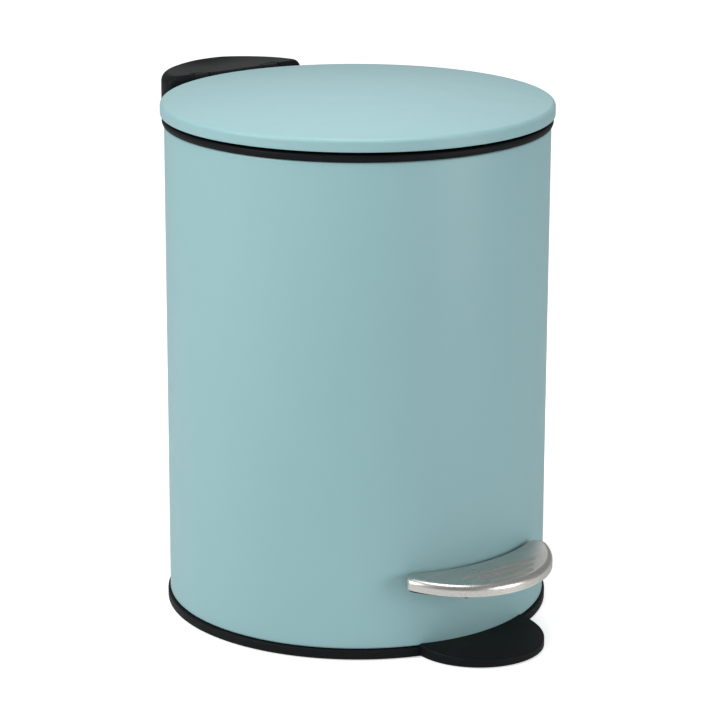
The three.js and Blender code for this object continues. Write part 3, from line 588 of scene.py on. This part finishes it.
def hood_reach(turn, inset):
    """Distance from the hood's centre to its plan outline, less inset: a smooth minimum, by the
    power sharpness, of the straight nose line and of the oval |x / half|^2.6 + |y / depth|^p = 1,
    with p 2.25 behind its middle and 6 in front. The oval is closed in on step by step."""
    half, back = grip_half - inset, grip_high.y - hood_middle_y - inset
    east, north = np.cos(turn), np.sin(turn)
    shift = hood_centre_y - hood_middle_y
    reach = np.full_like(turn, 30 * MM)
    for _ in range(24):
        x, y = reach * east, reach * north + shift
        power = np.where(y > 0, 2.25, 6.0)
        depth = np.where(y > 0, back, hood_front - inset)
        level = abs(x / half) ** 2.6 + abs(y / depth) ** power
        reach = reach * level ** (-0.16)
    nose = np.where(north < -0.05, (hood_centre_y - nose_y - inset) / np.maximum(-north, 0.05), 1.0)
    sharpness = 9
    return (reach ** -sharpness + nose ** -sharpness) ** (-1 / sharpness)


def hood():
    """Upside-down cup, its crest sinking towards the flanks with |cos t|^3. From the middle of the
    top: a dish that rises with the share of the way out to the power 2.4, a quarter round, the wall
    down, the lip's half round, the inner wall up, the inner quarter round and the ceiling back to
    the middle."""
    turn = np.linspace(0, 2 * np.pi, 320, endpoint=False)[:, None]
    outer, inner = hood_reach(turn, 0), hood_reach(turn, grip_lip)
    behind = 0.5 + 0.5 * np.tanh((np.sin(turn) + 0.35) / 0.16)
    crest = hinge_z + knuckle + behind * (grip_high.z - hinge_z - knuckle)
    crest -= 1.6 * MM * behind * abs(np.cos(turn)) ** 3
    dish = hinge_z + knuckle - 0.5 * MM
    edge, inner_edge = knuckle + 0.8 * MM * behind, 3 * MM
    bottom, half_lip = lip_bottom + grip_lip / 2, (outer - inner) / 2
    share = np.linspace(0, 1, 26)[None, :]
    bow = np.linspace(0, np.pi / 2, 12)[None, 1:]
    drop = np.linspace(0, 1, 10)[None, 1:]
    half_round = np.linspace(0, np.pi, 12)[None, 1:]
    inward = np.linspace(1, 0, 10)[None, 1:]
    runs = [
        (share * (outer - edge), dish + (crest - dish) * share ** 2.4),
        (outer - edge + edge * np.sin(bow), crest - edge + edge * np.cos(bow)),
        (outer, (crest - edge) * (1 - drop) + bottom * drop),
        (inner + half_lip + half_lip * np.cos(half_round), bottom - grip_lip / 2 * np.sin(half_round)),
        (inner, bottom * (1 - drop) + (under_roof - inner_edge) * drop),
        (inner - inner_edge + inner_edge * np.cos(bow), under_roof - inner_edge + inner_edge * np.sin(bow)),
        ((inner - inner_edge) * inward, under_roof),
    ]
    runs = [np.broadcast_arrays(reach, height) for reach, height in runs]
    reach, height = [np.concatenate(part, 1) for part in zip(*runs)]
    points = placed(reach * np.cos(turn), reach * np.sin(turn), height, "z", (0, hood_centre_y, 0))
    return piece_from("grip_housing", points, grid_faces(len(turn), reach.shape[1], True, False), 40)


def hugging_block(name, half_width, low, high, near, far, corner):
    """Block that hugs the wall: at each x it runs from the circle of radius near to far, a circle's
    radius or, where far is None, the plane of the front wall's back. Its lower corners rise as a
    quarter round."""
    x = half_width * np.sin(np.linspace(-1, 1, 81) * np.pi / 2)
    inside = np.sqrt(near ** 2 - x ** 2)
    outside = np.full_like(x, nose_y + front_wall) if far is None else np.sqrt(far ** 2 - x ** 2)
    over = np.clip(abs(x) - (half_width - corner), 0, corner)
    floor, roof = low + corner - np.sqrt(np.maximum(corner ** 2 - over ** 2, 0)), np.full_like(x, high)
    loop_y = np.stack([inside, outside, outside, inside], 1)
    loop_z = np.stack([floor, floor, roof, roof], 1)
    last = 4 * len(x)
    ends = [[0, 1, 2, 3], [last - 1, last - 2, last - 3, last - 4]]
    faces = grid_faces(len(x), 4, False, True).tolist() + ends
    return piece_from(name, placed(x[:, None], loop_y, loop_z), faces)


def knuckle_slot(x):
    """Room in front of and below the hinge axis, and just round it, for one arm of the lid."""
    reach = knuckle + 0.5 * MM
    bow = np.linspace(0, np.pi / 2, 12)
    arc = np.stack([hinge_y + reach * np.cos(bow), hinge_z + reach * np.sin(bow)], 1)
    floor, front = rim_under - 0.2 * MM, hinge_y - 2 * past
    start = [(front, floor), (hinge_y + 1 * MM, floor), (hinge_y + reach, hinge_z - 1 * MM)]
    end = [(hinge_y, hinge_z + past), (front, hinge_z + past)]
    return prism("slot", np.concatenate([start, arc, end]), x - slot_reach, x + slot_reach)


grip = hood()
shelf_top = rim_high.z + 0.5 * MM
shelf_low, plate_half, plate_top, plate_sheet = lip_bottom + 0.15 * MM, 28 * MM, 218 * MM, 4.2 * MM
inside_wall = wall_radius - 1 * MM
shelf = hugging_block("shelf", grip_half - 0.1 * MM, shelf_low, shelf_top, inside_wall, None, 2.2 * MM)
plate = hugging_block(
    "plate", plate_half, grip_low.z, plate_top, inside_wall, wall_radius + plate_sheet, 9 * MM
)
hinge_centre = (0, hinge_y, hinge_z)
hinge_hole = cylinder("hole", hinge_bore, pin_low.x - seat_gap, pin_high.x + past, "x", hinge_centre, 40)
grip_shank = 1.7 * MM
screw_end = screw_high.y + seat_gap
screw_holes = [
    cylinder("hole", grip_shank + pin_play, screw_low.y - past, screw_end, "y", (x, 0, screw_z), 40)
    for x in (-screw_x, screw_x)
]
rooms = [
    cylinder("room", wall_radius + seat_gap, grip_low.z - past, rim_under - 2 * MM, sides=240),
    cylinder("room", rim_radius + seat_gap, rim_under - 2.1 * MM, rim_high.z + 0.6 * MM, sides=240),
    knuckle_slot(-arm_x), knuckle_slot(arm_x),
]
joined(grip, added=[shelf, plate], cut=[*rooms, hinge_hole, *screw_holes], sharp=32)
given(grip, plastic, "bin", "black_plastic", "rear_handle")


# ---- Grip screws and hinge pin ----------------------------------------------
# Two zinc-plated cross-head screws from inside the wall into the grip, and the steel pin that
# the lid turns on.

def screw(name, head_radius, head_height, shank_radius, length, axis, centre, facing):
    """Pan-head screw on an axis, head end at centre. The head domes as the square root of
    1 - 0.55 r^2, and a cross of two crossing grooves, each a smooth step in |x| and |y|, sinks into it."""
    turn = np.linspace(0, 2 * np.pi, 72, endpoint=False)[:, None]
    share = np.linspace(0, 1, 30)[None, :]
    x, y = share * np.cos(turn), share * np.sin(turn)
    arms = np.maximum(
        np.clip((0.16 - abs(x)) / 0.05, 0, 1) * np.clip((0.62 - abs(y)) / 0.1, 0, 1),
        np.clip((0.16 - abs(y)) / 0.05, 0, 1) * np.clip((0.62 - abs(x)) / 0.1, 0, 1),
    )
    dome = head_height * np.sqrt(1 - 0.55 * share ** 2) - 0.55 * head_height * arms
    profile = np.array([
        (head_radius, 0), (shank_radius, 0), (shank_radius, -length + shank_radius),
        (0.3 * shank_radius, -length), (0, -length),
    ])
    radius = np.concatenate([share * head_radius + 0 * turn, profile[:, 0] + 0 * turn], 1)
    height = np.concatenate([dome, profile[:, 1] + 0 * turn], 1)
    points = placed(radius * np.cos(turn), radius * np.sin(turn), facing * height, axis, centre)
    return piece_from(name, points, grid_faces(len(turn), radius.shape[1], True, False), 38)


grip_head = 1.8 * MM
for node in ("handle_screw_left", "handle_screw_right"):
    low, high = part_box(node)
    seat, length = low.y + grip_head, high.y - low.y - grip_head
    centre = ((low.x + high.x) / 2, seat, screw_z)
    made = screw(
        node + "_steel", (high.x - low.x) / 2, grip_head, grip_shank, length, "y", centre, -1
    )
    given(made, zinc, "bin", "zinc_steel", node)
hinge = pin_piece("hinge_pin_steel", hinge_radius, pin_low.x, pin_high.x, "x", hinge_centre, 0.4 * MM)
given(hinge, zinc, "bin", "zinc_steel", "hinge_pin")


# ---- Inner bucket -----------------------------------------------------------
# Lift-out bucket in grey polypropylene, with draft, a flange that rests on the rim's ledge, a
# raised bottom and two lugs for the bail.

def grey_plastic():
    """Dark grey polypropylene: fine grain with faint upright draw marks from the mould."""
    material, tree, shader = finish("grey_plastic", (0.07, 0.075, 0.08), 0.5)
    draw, marks = noise(tree, 700, 2.0, (1, 1, 0.03)), noise(tree, 35, 3.0)
    shades(tree, shader, marks, (0.060, 0.064, 0.068), (0.080, 0.085, 0.090))
    gloss(tree, shader, marks, 0.44, 0.58)
    relief(tree, shader, (draw, 0.00002), (noise(tree, 2400, 2.0), 0.00004))
    return material


bucket_plastic = grey_plastic()
bucket_low, bucket_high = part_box("inner_bucket")
flange_radius = bucket_high.x
mouth_radius = flange_radius - 2.6 * MM
foot_ring = 70 * MM
bucket_wall = 1.6 * MM
flange_under = ledge_top + seat_gap
flange_top = flange_under + bucket_wall
bucket_floor = bucket_low.z
raised_floor = bucket_floor + 1.5 * MM
bucket = turned("bucket_moulding", rounded([
    (0, raised_floor, 0), (foot_ring - 8 * MM, raised_floor, 0.8 * MM),
    (foot_ring - 7 * MM, bucket_floor, 0.5 * MM), (foot_ring, bucket_floor, 3 * MM),
    (mouth_radius, flange_under, 0.5 * MM), (flange_radius, flange_under, 0.5 * MM),
    (flange_radius, flange_top, 0.7 * MM), (mouth_radius - bucket_wall, flange_top, 0.8 * MM),
    (foot_ring - bucket_wall, raised_floor + bucket_wall, 3 * MM), (0, raised_floor + bucket_wall, 0),
]), 240)
bail_low, bail_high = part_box("bucket_bail")
bail_z = (bail_low.z + bail_high.z) / 2
bail_radius = (bail_high.z - bail_low.z) / 2
lug_x = mouth_radius - bucket_wall
lug_half, lug_foot = 3 * MM, flange_top - 1 * MM
lug_outline = rounded([
    (-lug_half, lug_foot, 0), (lug_half, lug_foot, 0),
    (lug_half, bucket_high.z, 2.2 * MM), (-lug_half, bucket_high.z, 2.2 * MM),
], 8)
lugs = [prism("lug", lug_outline, side * lug_x - 1 * MM, side * lug_x + 1 * MM) for side in (-1, 1)]
lug_hole = cylinder("hole", bail_radius + pin_play, -lug_x - past, lug_x + past, "x", (0, 0, bail_z), 40)
joined(bucket, added=lugs, cut=[lug_hole])
given(bucket, bucket_plastic, "bucket", "grey_plastic", "inner_bucket")


# ---- Bail -------------------------------------------------------------------
# Half circle of zinc-plated wire that lies on the flange towards the pedal, with its ends bent in
# to the lugs, and a black sleeve with shallow rings round its middle.

bail_reach = mouth_radius + 1.3 * MM
bend_radius = 2.2 * MM


def bail_path():
    """The wire's middle line in its plane: pin, quarter bend, half circle, quarter bend, pin."""
    bend_turn = np.linspace(np.pi / 2, 0, 10)[:, None]
    corner = np.array([bail_reach - bend_radius, -bend_radius])
    first = corner + bend_radius * np.concatenate([np.cos(bend_turn), np.sin(bend_turn)], 1)
    lead = np.stack([np.linspace(lug_x - 1 * MM, corner[0], 5)[:-1], np.zeros(4)], 1)
    opening = np.arcsin(bend_radius / bail_reach)
    sweep = np.linspace(-opening, -np.pi + opening, 120)[1:-1, None]
    arc = bail_reach * np.concatenate([np.cos(sweep), np.sin(sweep)], 1)
    half = np.concatenate([lead, first])
    return np.concatenate([half, arc, (half * [-1, 1])[::-1]])


def wire(name, path, radius):
    """Round wire in a level plane: circles of the radius stand square to the path, and shrink to a
    point in the last half radius at both ends as the square root of a circle."""
    run = np.concatenate([[0], np.cumsum(np.linalg.norm(np.diff(path, axis=0), axis=1))])
    end = radius * 0.5
    closing = end * (1 - np.cos(np.linspace(0, np.pi / 2, 5)))
    straight = np.linspace(end, run[-1] - end, 220)[1:-1]
    stations = np.concatenate([closing, straight, run[-1] - closing[::-1]])
    middle = np.stack([np.interp(stations, run, path[:, 0]), np.interp(stations, run, path[:, 1])], 1)
    along = np.gradient(middle, axis=0)
    along /= np.linalg.norm(along, axis=1)[:, None]
    aside = np.stack([-along[:, 1], along[:, 0]], 1)
    from_end = np.minimum(stations, run[-1] - stations) / end
    thick = radius * np.sqrt(1 - (1 - np.clip(from_end, 0, 1)) ** 2)
    turn = np.linspace(0, 2 * np.pi, 20, endpoint=False)
    level = middle[:, None, :] + aside[:, None, :] * (thick[:, None] * np.cos(turn))[..., None]
    height = bail_z + thick[:, None] * np.sin(turn)
    points = np.concatenate([level, height[..., None]], -1)
    return piece_from(name, points, grid_faces(len(stations), 20, False, True), 50)


given(wire("bail_wire", bail_path(), bail_radius), zinc, "bail", "zinc_steel", "bucket_bail")


def sleeve():
    """Hollow sleeve bent to the bail's circle: its outer radius is a swell of 1 - s^8 with fine rings
    on it, and the same stations run back along the bore."""
    low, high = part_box("bail_grip")
    outer, bore = (high.z - low.z) / 2, bail_radius + seat_gap
    end = bore + 0.35 * MM
    span = np.radians(15)
    s = np.linspace(-1, 1, 90)
    rings = 0.12 * MM * (1 + np.cos(s * 50)) * (abs(s) < 0.85)
    swell = end + (outer - end) * (1 - s ** 8) - rings
    radius = np.concatenate([swell, np.full(90, bore)])[:, None]
    place = -np.pi / 2 + span * np.concatenate([s, s[::-1]])[:, None]
    turn = np.linspace(0, 2 * np.pi, 32, endpoint=False)[None, :]
    reach = bail_reach + radius * np.cos(turn)
    points = placed(reach * np.cos(place), reach * np.sin(place), bail_z + radius * np.sin(turn))
    return piece_from("bail_sleeve", points, grid_faces(180, 32, True, True), 45)


given(sleeve(), plastic, "bail", "black_plastic", "bail_grip")


# ---- Push rod ---------------------------------------------------------------
# Zinc-plated steel wire that stands on the lever's end, with a black cap that pushes the lid's
# crank.

rod = pin_piece("rod_wire", rod_radius, rod_low.z, rod_high.z, "z", (0, rod_y, 0), 0.4 * MM)
given(rod, zinc, "rod", "zinc_steel", "push_rod")
cap_bore, bore_end = rod_radius + pin_play, cap_low.z + 2.1 * MM
rod_cap = turned("rod_button", rounded([
    (0, bore_end, 0), (cap_bore, bore_end, 0.1 * MM),
    (cap_bore, cap_low.z, 0.1 * MM), (cap_radius, cap_low.z, 0.4 * MM),
    (cap_radius, cap_high.z, 0.7 * MM), (0, cap_high.z, 0),
]), 64, "z", (0, rod_y, 0))
given(rod_cap, plastic, "rod", "black_plastic", "rod_cap")


# ---- Pedal ------------------------------------------------------------------
# A brushed stainless cap, pressed with a turned-down lip and three ribs, over a black core. Two
# screws hold both to the lever's tongue from below.

def brushed_stainless():
    """Stainless steel brushed along X: long fine scratches and a slightly warm tint."""
    material, tree, shader = finish("stainless", (0.56, 0.54, 0.51), 0.3, 1.0)
    brush, cloud = noise(tree, 2200, 3.0, (0.025, 1, 1)), noise(tree, 55, 3.0)
    shades(tree, shader, brush, (0.50, 0.485, 0.46), (0.62, 0.60, 0.57))
    gloss(tree, shader, cloud, 0.27, 0.36)
    relief(tree, shader, (brush, 0.000012), (noise(tree, 900, 2.0), 0.000006))
    return material


stainless = brushed_stainless()
pedal_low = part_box("pedal_cap")[0]
pedal_radius = 43 * MM
pedal_tip = pedal_low.y
pedal_middle = np.array([0, -98 * MM])
end_radius = 5 * MM
wall_gap = 1 * MM
pedal_sheet = 1.2 * MM
pedal_back_top, pedal_front_top = 39.6 * MM, 37.9 * MM
rib_lengths, first_rib_y, rib_pitch = (46, 37, 28), -97 * MM, 4.4 * MM


def pedal_outline(inset):
    """Crescent with rounded ends, inset all round. Each end is an arc about a point that lies one end
    radius inside both the front circle and the circle that clears the wall; the four arcs meet there."""
    front_y = pedal_tip + pedal_radius
    clear = wall_radius + wall_gap
    a, b = pedal_radius - end_radius, clear + end_radius
    end_y = (b ** 2 - a ** 2 + front_y ** 2) / (2 * front_y)
    end_x = np.sqrt(b ** 2 - end_y ** 2)
    from_front, from_axis = np.arctan2(end_y - front_y, end_x), np.arctan2(end_y, end_x)

    def arc(x, y, radius, start, end, count):
        turn = np.linspace(start, end, count, endpoint=False)
        return np.stack([x + radius * np.cos(turn), y + radius * np.sin(turn)], 1)

    return np.concatenate([
        arc(0, front_y, pedal_radius - inset, np.pi - from_front, 2 * np.pi + from_front, 160),
        arc(end_x, end_y, end_radius - inset, from_front, np.pi + from_axis, 36),
        arc(0, 0, clear + inset, from_axis, -np.pi - from_axis, 110),
        arc(-end_x, end_y, end_radius - inset, -from_axis, np.pi - from_front, 36),
    ])


def rib_height(x, y):
    """Raised ribs: each is 0.75 mm x (1 - d^2) across, with d the distance from its middle line in
    half widths, and sinks as a smooth step of the distance to its end over the last 5 mm."""
    height = np.zeros(np.broadcast(x, y).shape)
    half_width, fade = 1.0 * MM, 5 * MM
    for index, length in enumerate(rib_lengths):
        middle = first_rib_y - index * rib_pitch
        left = np.clip((length * MM / 2 - abs(x)) / fade, 0, 1)
        d = abs(y - middle) / half_width
        crown = 0.75 * MM * np.clip(1 - d ** 2, 0, 1)
        height = np.maximum(height, crown * left ** 2 * (3 - 2 * left))
    return height


def pedal_top(y):
    """Height of the pedal's sloping top."""
    slope = (pedal_back_top - pedal_front_top) / (-wall_radius - pedal_tip)
    return pedal_front_top + (y - pedal_tip) * slope


def pedal_face(inset, edge, lip_depth, with_ribs, columns):
    """Top and lip: shares of the way out from the middle on the sloping top, a quarter round, and
    straight down to a lip of one depth all round."""
    flat, outer = pedal_outline(inset + edge), pedal_outline(inset)
    share = (np.linspace(0, 1, columns) ** 0.8)[None, :, None]
    bow = np.linspace(0, np.pi / 2, 12)[None, 1:, None]
    plan = np.concatenate([
        pedal_middle + share * (flat[:, None] - pedal_middle),
        flat[:, None] + np.sin(bow) * (outer - flat)[:, None],
        outer[:, None] + np.zeros((1, 6, 1)),
    ], 1)
    x, y = plan[..., 0], plan[..., 1]
    top = pedal_top(y) - inset + (rib_height(x, y) if with_ribs else 0)
    rounding, fall = edge * (1 - np.cos(bow[0, :, 0])), np.linspace(edge, lip_depth - inset, 7)[1:]
    sunk = np.concatenate([np.zeros(columns), rounding, fall])
    height = np.maximum(top - sunk, pedal_low.z)
    return np.stack([x, y, height], -1)


pedal_lip = 5.0 * MM
outside = pedal_face(0, 2.6 * MM, pedal_lip, True, 180)
inside = pedal_face(pedal_sheet, 1.4 * MM, pedal_lip, False, 16)
pedal_points = np.concatenate([outside, inside[:, ::-1]], 1)
rows, columns = pedal_points.shape[:2]
pedal_cap = piece_from("pedal_plate", pedal_points, grid_faces(rows, columns, True, False), 50)
way_half, way_top, way_end = lever_half + seat_gap, tongue_top + seat_gap, past - wall_radius
tongue_way = box_solid(
    "way", (-way_half, -wall_radius - 4 * MM, tongue_top - past), (way_half, way_end, way_top)
)
joined(pedal_cap, cut=[tongue_way], sharp=50)
given(pedal_cap, stainless, "pedal", "stainless", "pedal_cap")


# ---- Pedal core and screws --------------------------------------------------
# Black polypropylene block that fills the cap and takes the lever's tongue in a groove, with two
# zinc-plated cross-head screws from below.

def core_block():
    """The crescent again, inset by the sheet and a clearance: level underside, sloping top."""
    inset, slant = pedal_sheet + seat_gap, 1.2 * MM
    line, shrunk = pedal_outline(inset), pedal_outline(inset + slant)
    ring = placed(line[:, 0], line[:, 1], pedal_low.z + 0.6 * MM)
    brow = placed(line[:, 0], line[:, 1], pedal_top(line[:, 1]) - inset - slant)
    roof = placed(shrunk[:, 0], shrunk[:, 1], pedal_top(shrunk[:, 1]) - inset)
    count = len(line)
    ends = [list(range(count)), list(range(2 * count, 3 * count))]
    faces = grid_faces(3, count, False, True).tolist() + ends
    return piece_from("core_block", np.concatenate([ring, brow, roof]), faces)


core = core_block()
groove = box_solid(
    "groove", (-way_half, lever_low.y - seat_gap, tongue_top - past), (way_half, way_end, way_top)
)
pedal_head, room_top = 1.4 * MM, tongue_top + 1.2 * MM
screw_room = [
    cylinder("hole", pedal_shank + 0.1 * MM, tongue_top - past, room_top, "z", (0, y, 0), 40)
    for y in screw_ys
]
given(joined(core, cut=[groove, *screw_room]), plastic, "pedal", "black_plastic", "pedal_core")
for node in pedal_screws:
    low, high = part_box(node)
    seat, length = low.z + pedal_head, high.z - low.z - pedal_head
    centre = ((low.x + high.x) / 2, (low.y + high.y) / 2, seat)
    made = screw(
        node + "_steel", (high.x - low.x) / 2, pedal_head, pedal_shank, length, "z", centre, -1
    )
    given(made, zinc, "pedal", "zinc_steel", node)


# ---- Lid liner --------------------------------------------------------------
# Black polypropylene disc under the lid with a locating ring, radial ribs, two arms that pass
# under the lid's edge to the hinge pin, and the crank that the rod's cap pushes.

lid_low, lid_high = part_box("lid_shell")
lid_radius = lid_high.x
lid_skirt = 3.8 * MM
lid_edge = 2.0 * MM
liner_sheet = 1.6 * MM
liner_outer = lid_radius - sheet - seat_gap
liner_under = lid_low.z + seat_gap
web_under = lid_low.z + lid_skirt - 1.4 * MM
web_top = web_under + liner_sheet
root_top = web_under + 0.6 * MM
locator_outer = skirt_inner - 0.5 * MM
locator_inner = locator_outer - liner_sheet
locator_under = rim_high.z + seat_gap
liner = turned("liner_moulding", rounded([
    (0, web_under, 0), (locator_inner, web_under, 0.8 * MM), (locator_inner, locator_under, 0.5 * MM),
    (locator_outer, locator_under, 0.5 * MM), (locator_outer, liner_under, 0.4 * MM),
    (liner_outer, liner_under, 0.4 * MM), (liner_outer, lid_low.z + lid_skirt, 0.3 * MM),
    (liner_outer - 1.4 * MM, web_top + 0.5 * MM, 0.5 * MM),
    (liner_outer - 3 * MM, web_top, 0.4 * MM), (0, web_top, 0),
]), 240)


def arm_outline():
    """Side view of an arm: the root under the web, the bar under the lid's edge and the knuckle."""
    top = lid_low.z - run_gap
    under = top - 2.9 * MM
    root_y, root_end = 73.2 * MM, 81.7 * MM
    bow = np.linspace(-np.pi / 2, np.pi + np.arcsin((hinge_z - top) / knuckle), 60)[1:]
    ring = np.stack([hinge_y + knuckle * np.cos(bow), hinge_z + knuckle * np.sin(bow)], 1)
    start = [
        (root_y, root_top), (root_y, under), (hinge_y - 1 * MM, under), (hinge_y, hinge_z - knuckle)
    ]
    end = [(root_end, top), (root_end, root_top)]
    return np.concatenate([start, ring, end])


arms = [prism("arm", arm_outline(), x - arm_half, x + arm_half) for x in (-arm_x, arm_x)]
rod_rise = joints["rod_lift"]["range_m"][1]
crank_turn = np.radians(40)
crank_reach = rod_rise / (2 * np.sin(crank_turn))
crank_y = hinge_y - crank_reach * np.cos(crank_turn)
crank_z = hinge_z - crank_reach * np.sin(crank_turn)
nose, stem_y = 1 * MM, crank_y - 7 * MM
nose_turn = np.linspace(np.pi * 1.25, 2 * np.pi, 12)
nose_arc = np.stack([crank_y + nose * np.cos(nose_turn), crank_z + nose * np.sin(nose_turn)], 1)
crank_outline = np.concatenate([
    [(stem_y, root_top), (stem_y, rim_high.z + 0.8 * MM)], nose_arc, [(crank_y + nose, root_top)],
])
crank = prism("crank", crank_outline, -crank_half, crank_half)
ribs = []
rib_half, rib_end = 0.6 * MM, locator_inner + 0.5 * MM
rib_under, rib_top = web_under - 1.4 * MM, web_under + 0.5 * MM
for angle in np.radians(np.arange(15, 195, 30)):
    rib = prism("rib", rounded([
        (-rib_half, rib_under, 0.4 * MM), (rib_half, rib_under, 0.4 * MM),
        (rib_half, rib_top, 0), (-rib_half, rib_top, 0),
    ], 4), -rib_end, rib_end)
    rib.data.transform(Matrix.Rotation(angle, 4, "Z"))
    ribs.append(rib)
hub = cylinder("hub", 9 * MM, web_under - 1.8 * MM, rib_top, sides=90)
arm_hole = cylinder("hole", hinge_bore, -grip_half - past, grip_half + past, "x", hinge_centre, 40)
joined(liner, added=[*ribs, hub, *arms, crank], cut=[arm_hole])
given(liner, plastic, "lid", "black_plastic", "lid_liner")
for side in ("front", "left", "right"):
    node = "lid_bumper_" + side
    low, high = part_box(node)
    radius, centre = (high.x - low.x) / 2, ((low.x + high.x) / 2, (low.y + high.y) / 2, 0)
    bumper = turned(node + "_rubber", rounded([
        (0, low.z, 0), (radius, low.z, 0.35 * MM), (radius, high.z, 0.1 * MM), (0, high.z, 0),
    ]), 40, "z", centre)
    given(bumper, rubber, "lid", "black_rubber", node)


# ---- Lid --------------------------------------------------------------------
# Pressed steel lid, powder coated like the wall: a shallow dome, a tight rounded edge and a short
# skirt whose lower edge is hemmed inwards.

def lid_line(offset):
    """Lid's section from its lower edge to its crown, offset inwards: skirt, a quarter round of the
    edge radius less the offset, and a dome that falls by its rise x (r / rim)^2."""
    shoulder = lid_low.z + lid_skirt + lid_edge
    rim_r = lid_radius - lid_edge
    rise = lid_high.z - shoulder
    bow = np.linspace(0, np.pi / 2, 14)
    round_r = rim_r + (lid_edge - offset) * np.cos(bow)
    round_z = shoulder - lid_edge + (lid_edge - offset) * np.sin(bow)
    r = rim_r * (1 - np.linspace(0, 1, 60) ** 1.3)[1:]
    z = shoulder + rise * (1 - (r / rim_r) ** 2) - offset
    skirt_z = np.linspace(lid_low.z + sheet / 2, shoulder - lid_edge, 6)[:-1]
    skirt = np.stack([np.full(5, lid_radius - offset), skirt_z], 1)
    return np.concatenate([skirt, np.stack([round_r, round_z], 1), np.stack([r, z], 1)])


hem_turn = np.linspace(0, -np.pi, 9)[1:-1]
hem_r, hem_z = lid_radius - sheet / 2, lid_low.z + sheet / 2
hem = np.stack([hem_r + sheet / 2 * np.cos(hem_turn), hem_z + sheet / 2 * np.sin(hem_turn)], 1)
lid_profile = np.concatenate([lid_line(0)[::-1], hem, lid_line(sheet)])
lid = turned("lid_pressing", lid_profile, 360, closed=False, sharp=60)
given(lid, paint, "lid", "teal_paint", "lid_shell")


# ---- Floor, light and camera ------------------------------------------------
# A plain white floor and sky, one large soft light to the left, one half as strong to the right,
# and faint ones close above the lid and behind.

def stage_floor():
    """Large level square at floor level in an even white."""
    side = 12.0
    corners = [(-side, -side, 0), (side, -side, 0), (side, side, 0), (-side, side, 0)]
    floor = piece_from("floor", corners, [[0, 1, 2, 3]])
    material, tree, shader = finish("floor", (0.9, 0.9, 0.9), 0.9, specular=0.0)
    seen = tree.nodes.new("ShaderNodeLightPath").outputs["Is Camera Ray"]
    shader.inputs["Emission Color"].default_value = (1, 1, 1, 1)
    tree.links.new(spread(tree, seen, 0.0, 0.6, 0, 1), shader.inputs["Emission Strength"])
    floor.data.materials.append(material)


stage_floor()
world = bpy.data.worlds.new("studio")
bpy.context.scene.world = world
world.use_nodes = True
sky = world.node_tree
seen = sky.nodes.new("ShaderNodeLightPath").outputs["Is Camera Ray"]
sky.links.new(spread(sky, seen, 0.34, 1.05, 0, 1), sky.nodes["Background"].inputs["Strength"])
sky.nodes["Background"].inputs["Color"].default_value = (1, 1, 1, 1)


def soft_light(name, place, size, power):
    """Square area light at a place, aimed at the middle of the bin."""
    data = bpy.data.lights.new(name, "AREA")
    data.size, data.energy = size, power
    light = bpy.data.objects.new(name, data)
    bpy.context.scene.collection.objects.link(light)
    light.location = place
    aim = Vector((0, 0, 0.12)) - Vector(place)
    light.rotation_euler = aim.to_track_quat("-Z", "Y").to_euler()


view_turn = np.radians(-39)
to_camera = Vector((np.sin(view_turn), -np.cos(view_turn), 0))
to_right = Vector((np.cos(view_turn), np.sin(view_turn), 0))
up = Vector((0, 0, 1))
soft_light("left", to_camera * 0.72 - to_right * 1.24 + up * 0.8, 0.75, 18.5)
soft_light("right", to_camera * 0.75 + to_right * 1.3 + up * 0.3, 0.6, 9)
soft_light("above", up * 0.58 + to_camera * 0.12, 0.25, 1.2)
soft_light("behind", up * 1.2 - to_camera * 1.6, 1.0, 2.5)

camera_data = bpy.data.cameras.new("camera")
camera = bpy.data.objects.new("camera", camera_data)
bpy.context.scene.collection.objects.link(camera)
bpy.context.scene.camera = camera
camera_data.lens, camera_data.sensor_width = 150.45, 36
camera_data.clip_start, camera_data.clip_end = 0.05, 60
tilt, yaw, roll = np.radians(15.947), np.radians(0.06), np.radians(0.2)
ahead = to_right * np.sin(yaw) - to_camera * np.cos(yaw)
across = to_right * np.cos(yaw) + to_camera * np.sin(yaw)
forward = ahead * np.cos(tilt) - up * np.sin(tilt)
lens_up = across.cross(forward)
level_right = across * np.cos(roll) + lens_up * np.sin(roll)
level_up = lens_up * np.cos(roll) - across * np.sin(roll)
camera_out, camera_up = 1.3, 0.4823
turned_to = Matrix((level_right, level_up, -forward)).transposed().to_4x4()
camera.matrix_world = Matrix.Translation(to_camera * camera_out + up * camera_up) @ turned_to
bpy.context.scene.view_settings.view_transform = "Standard"
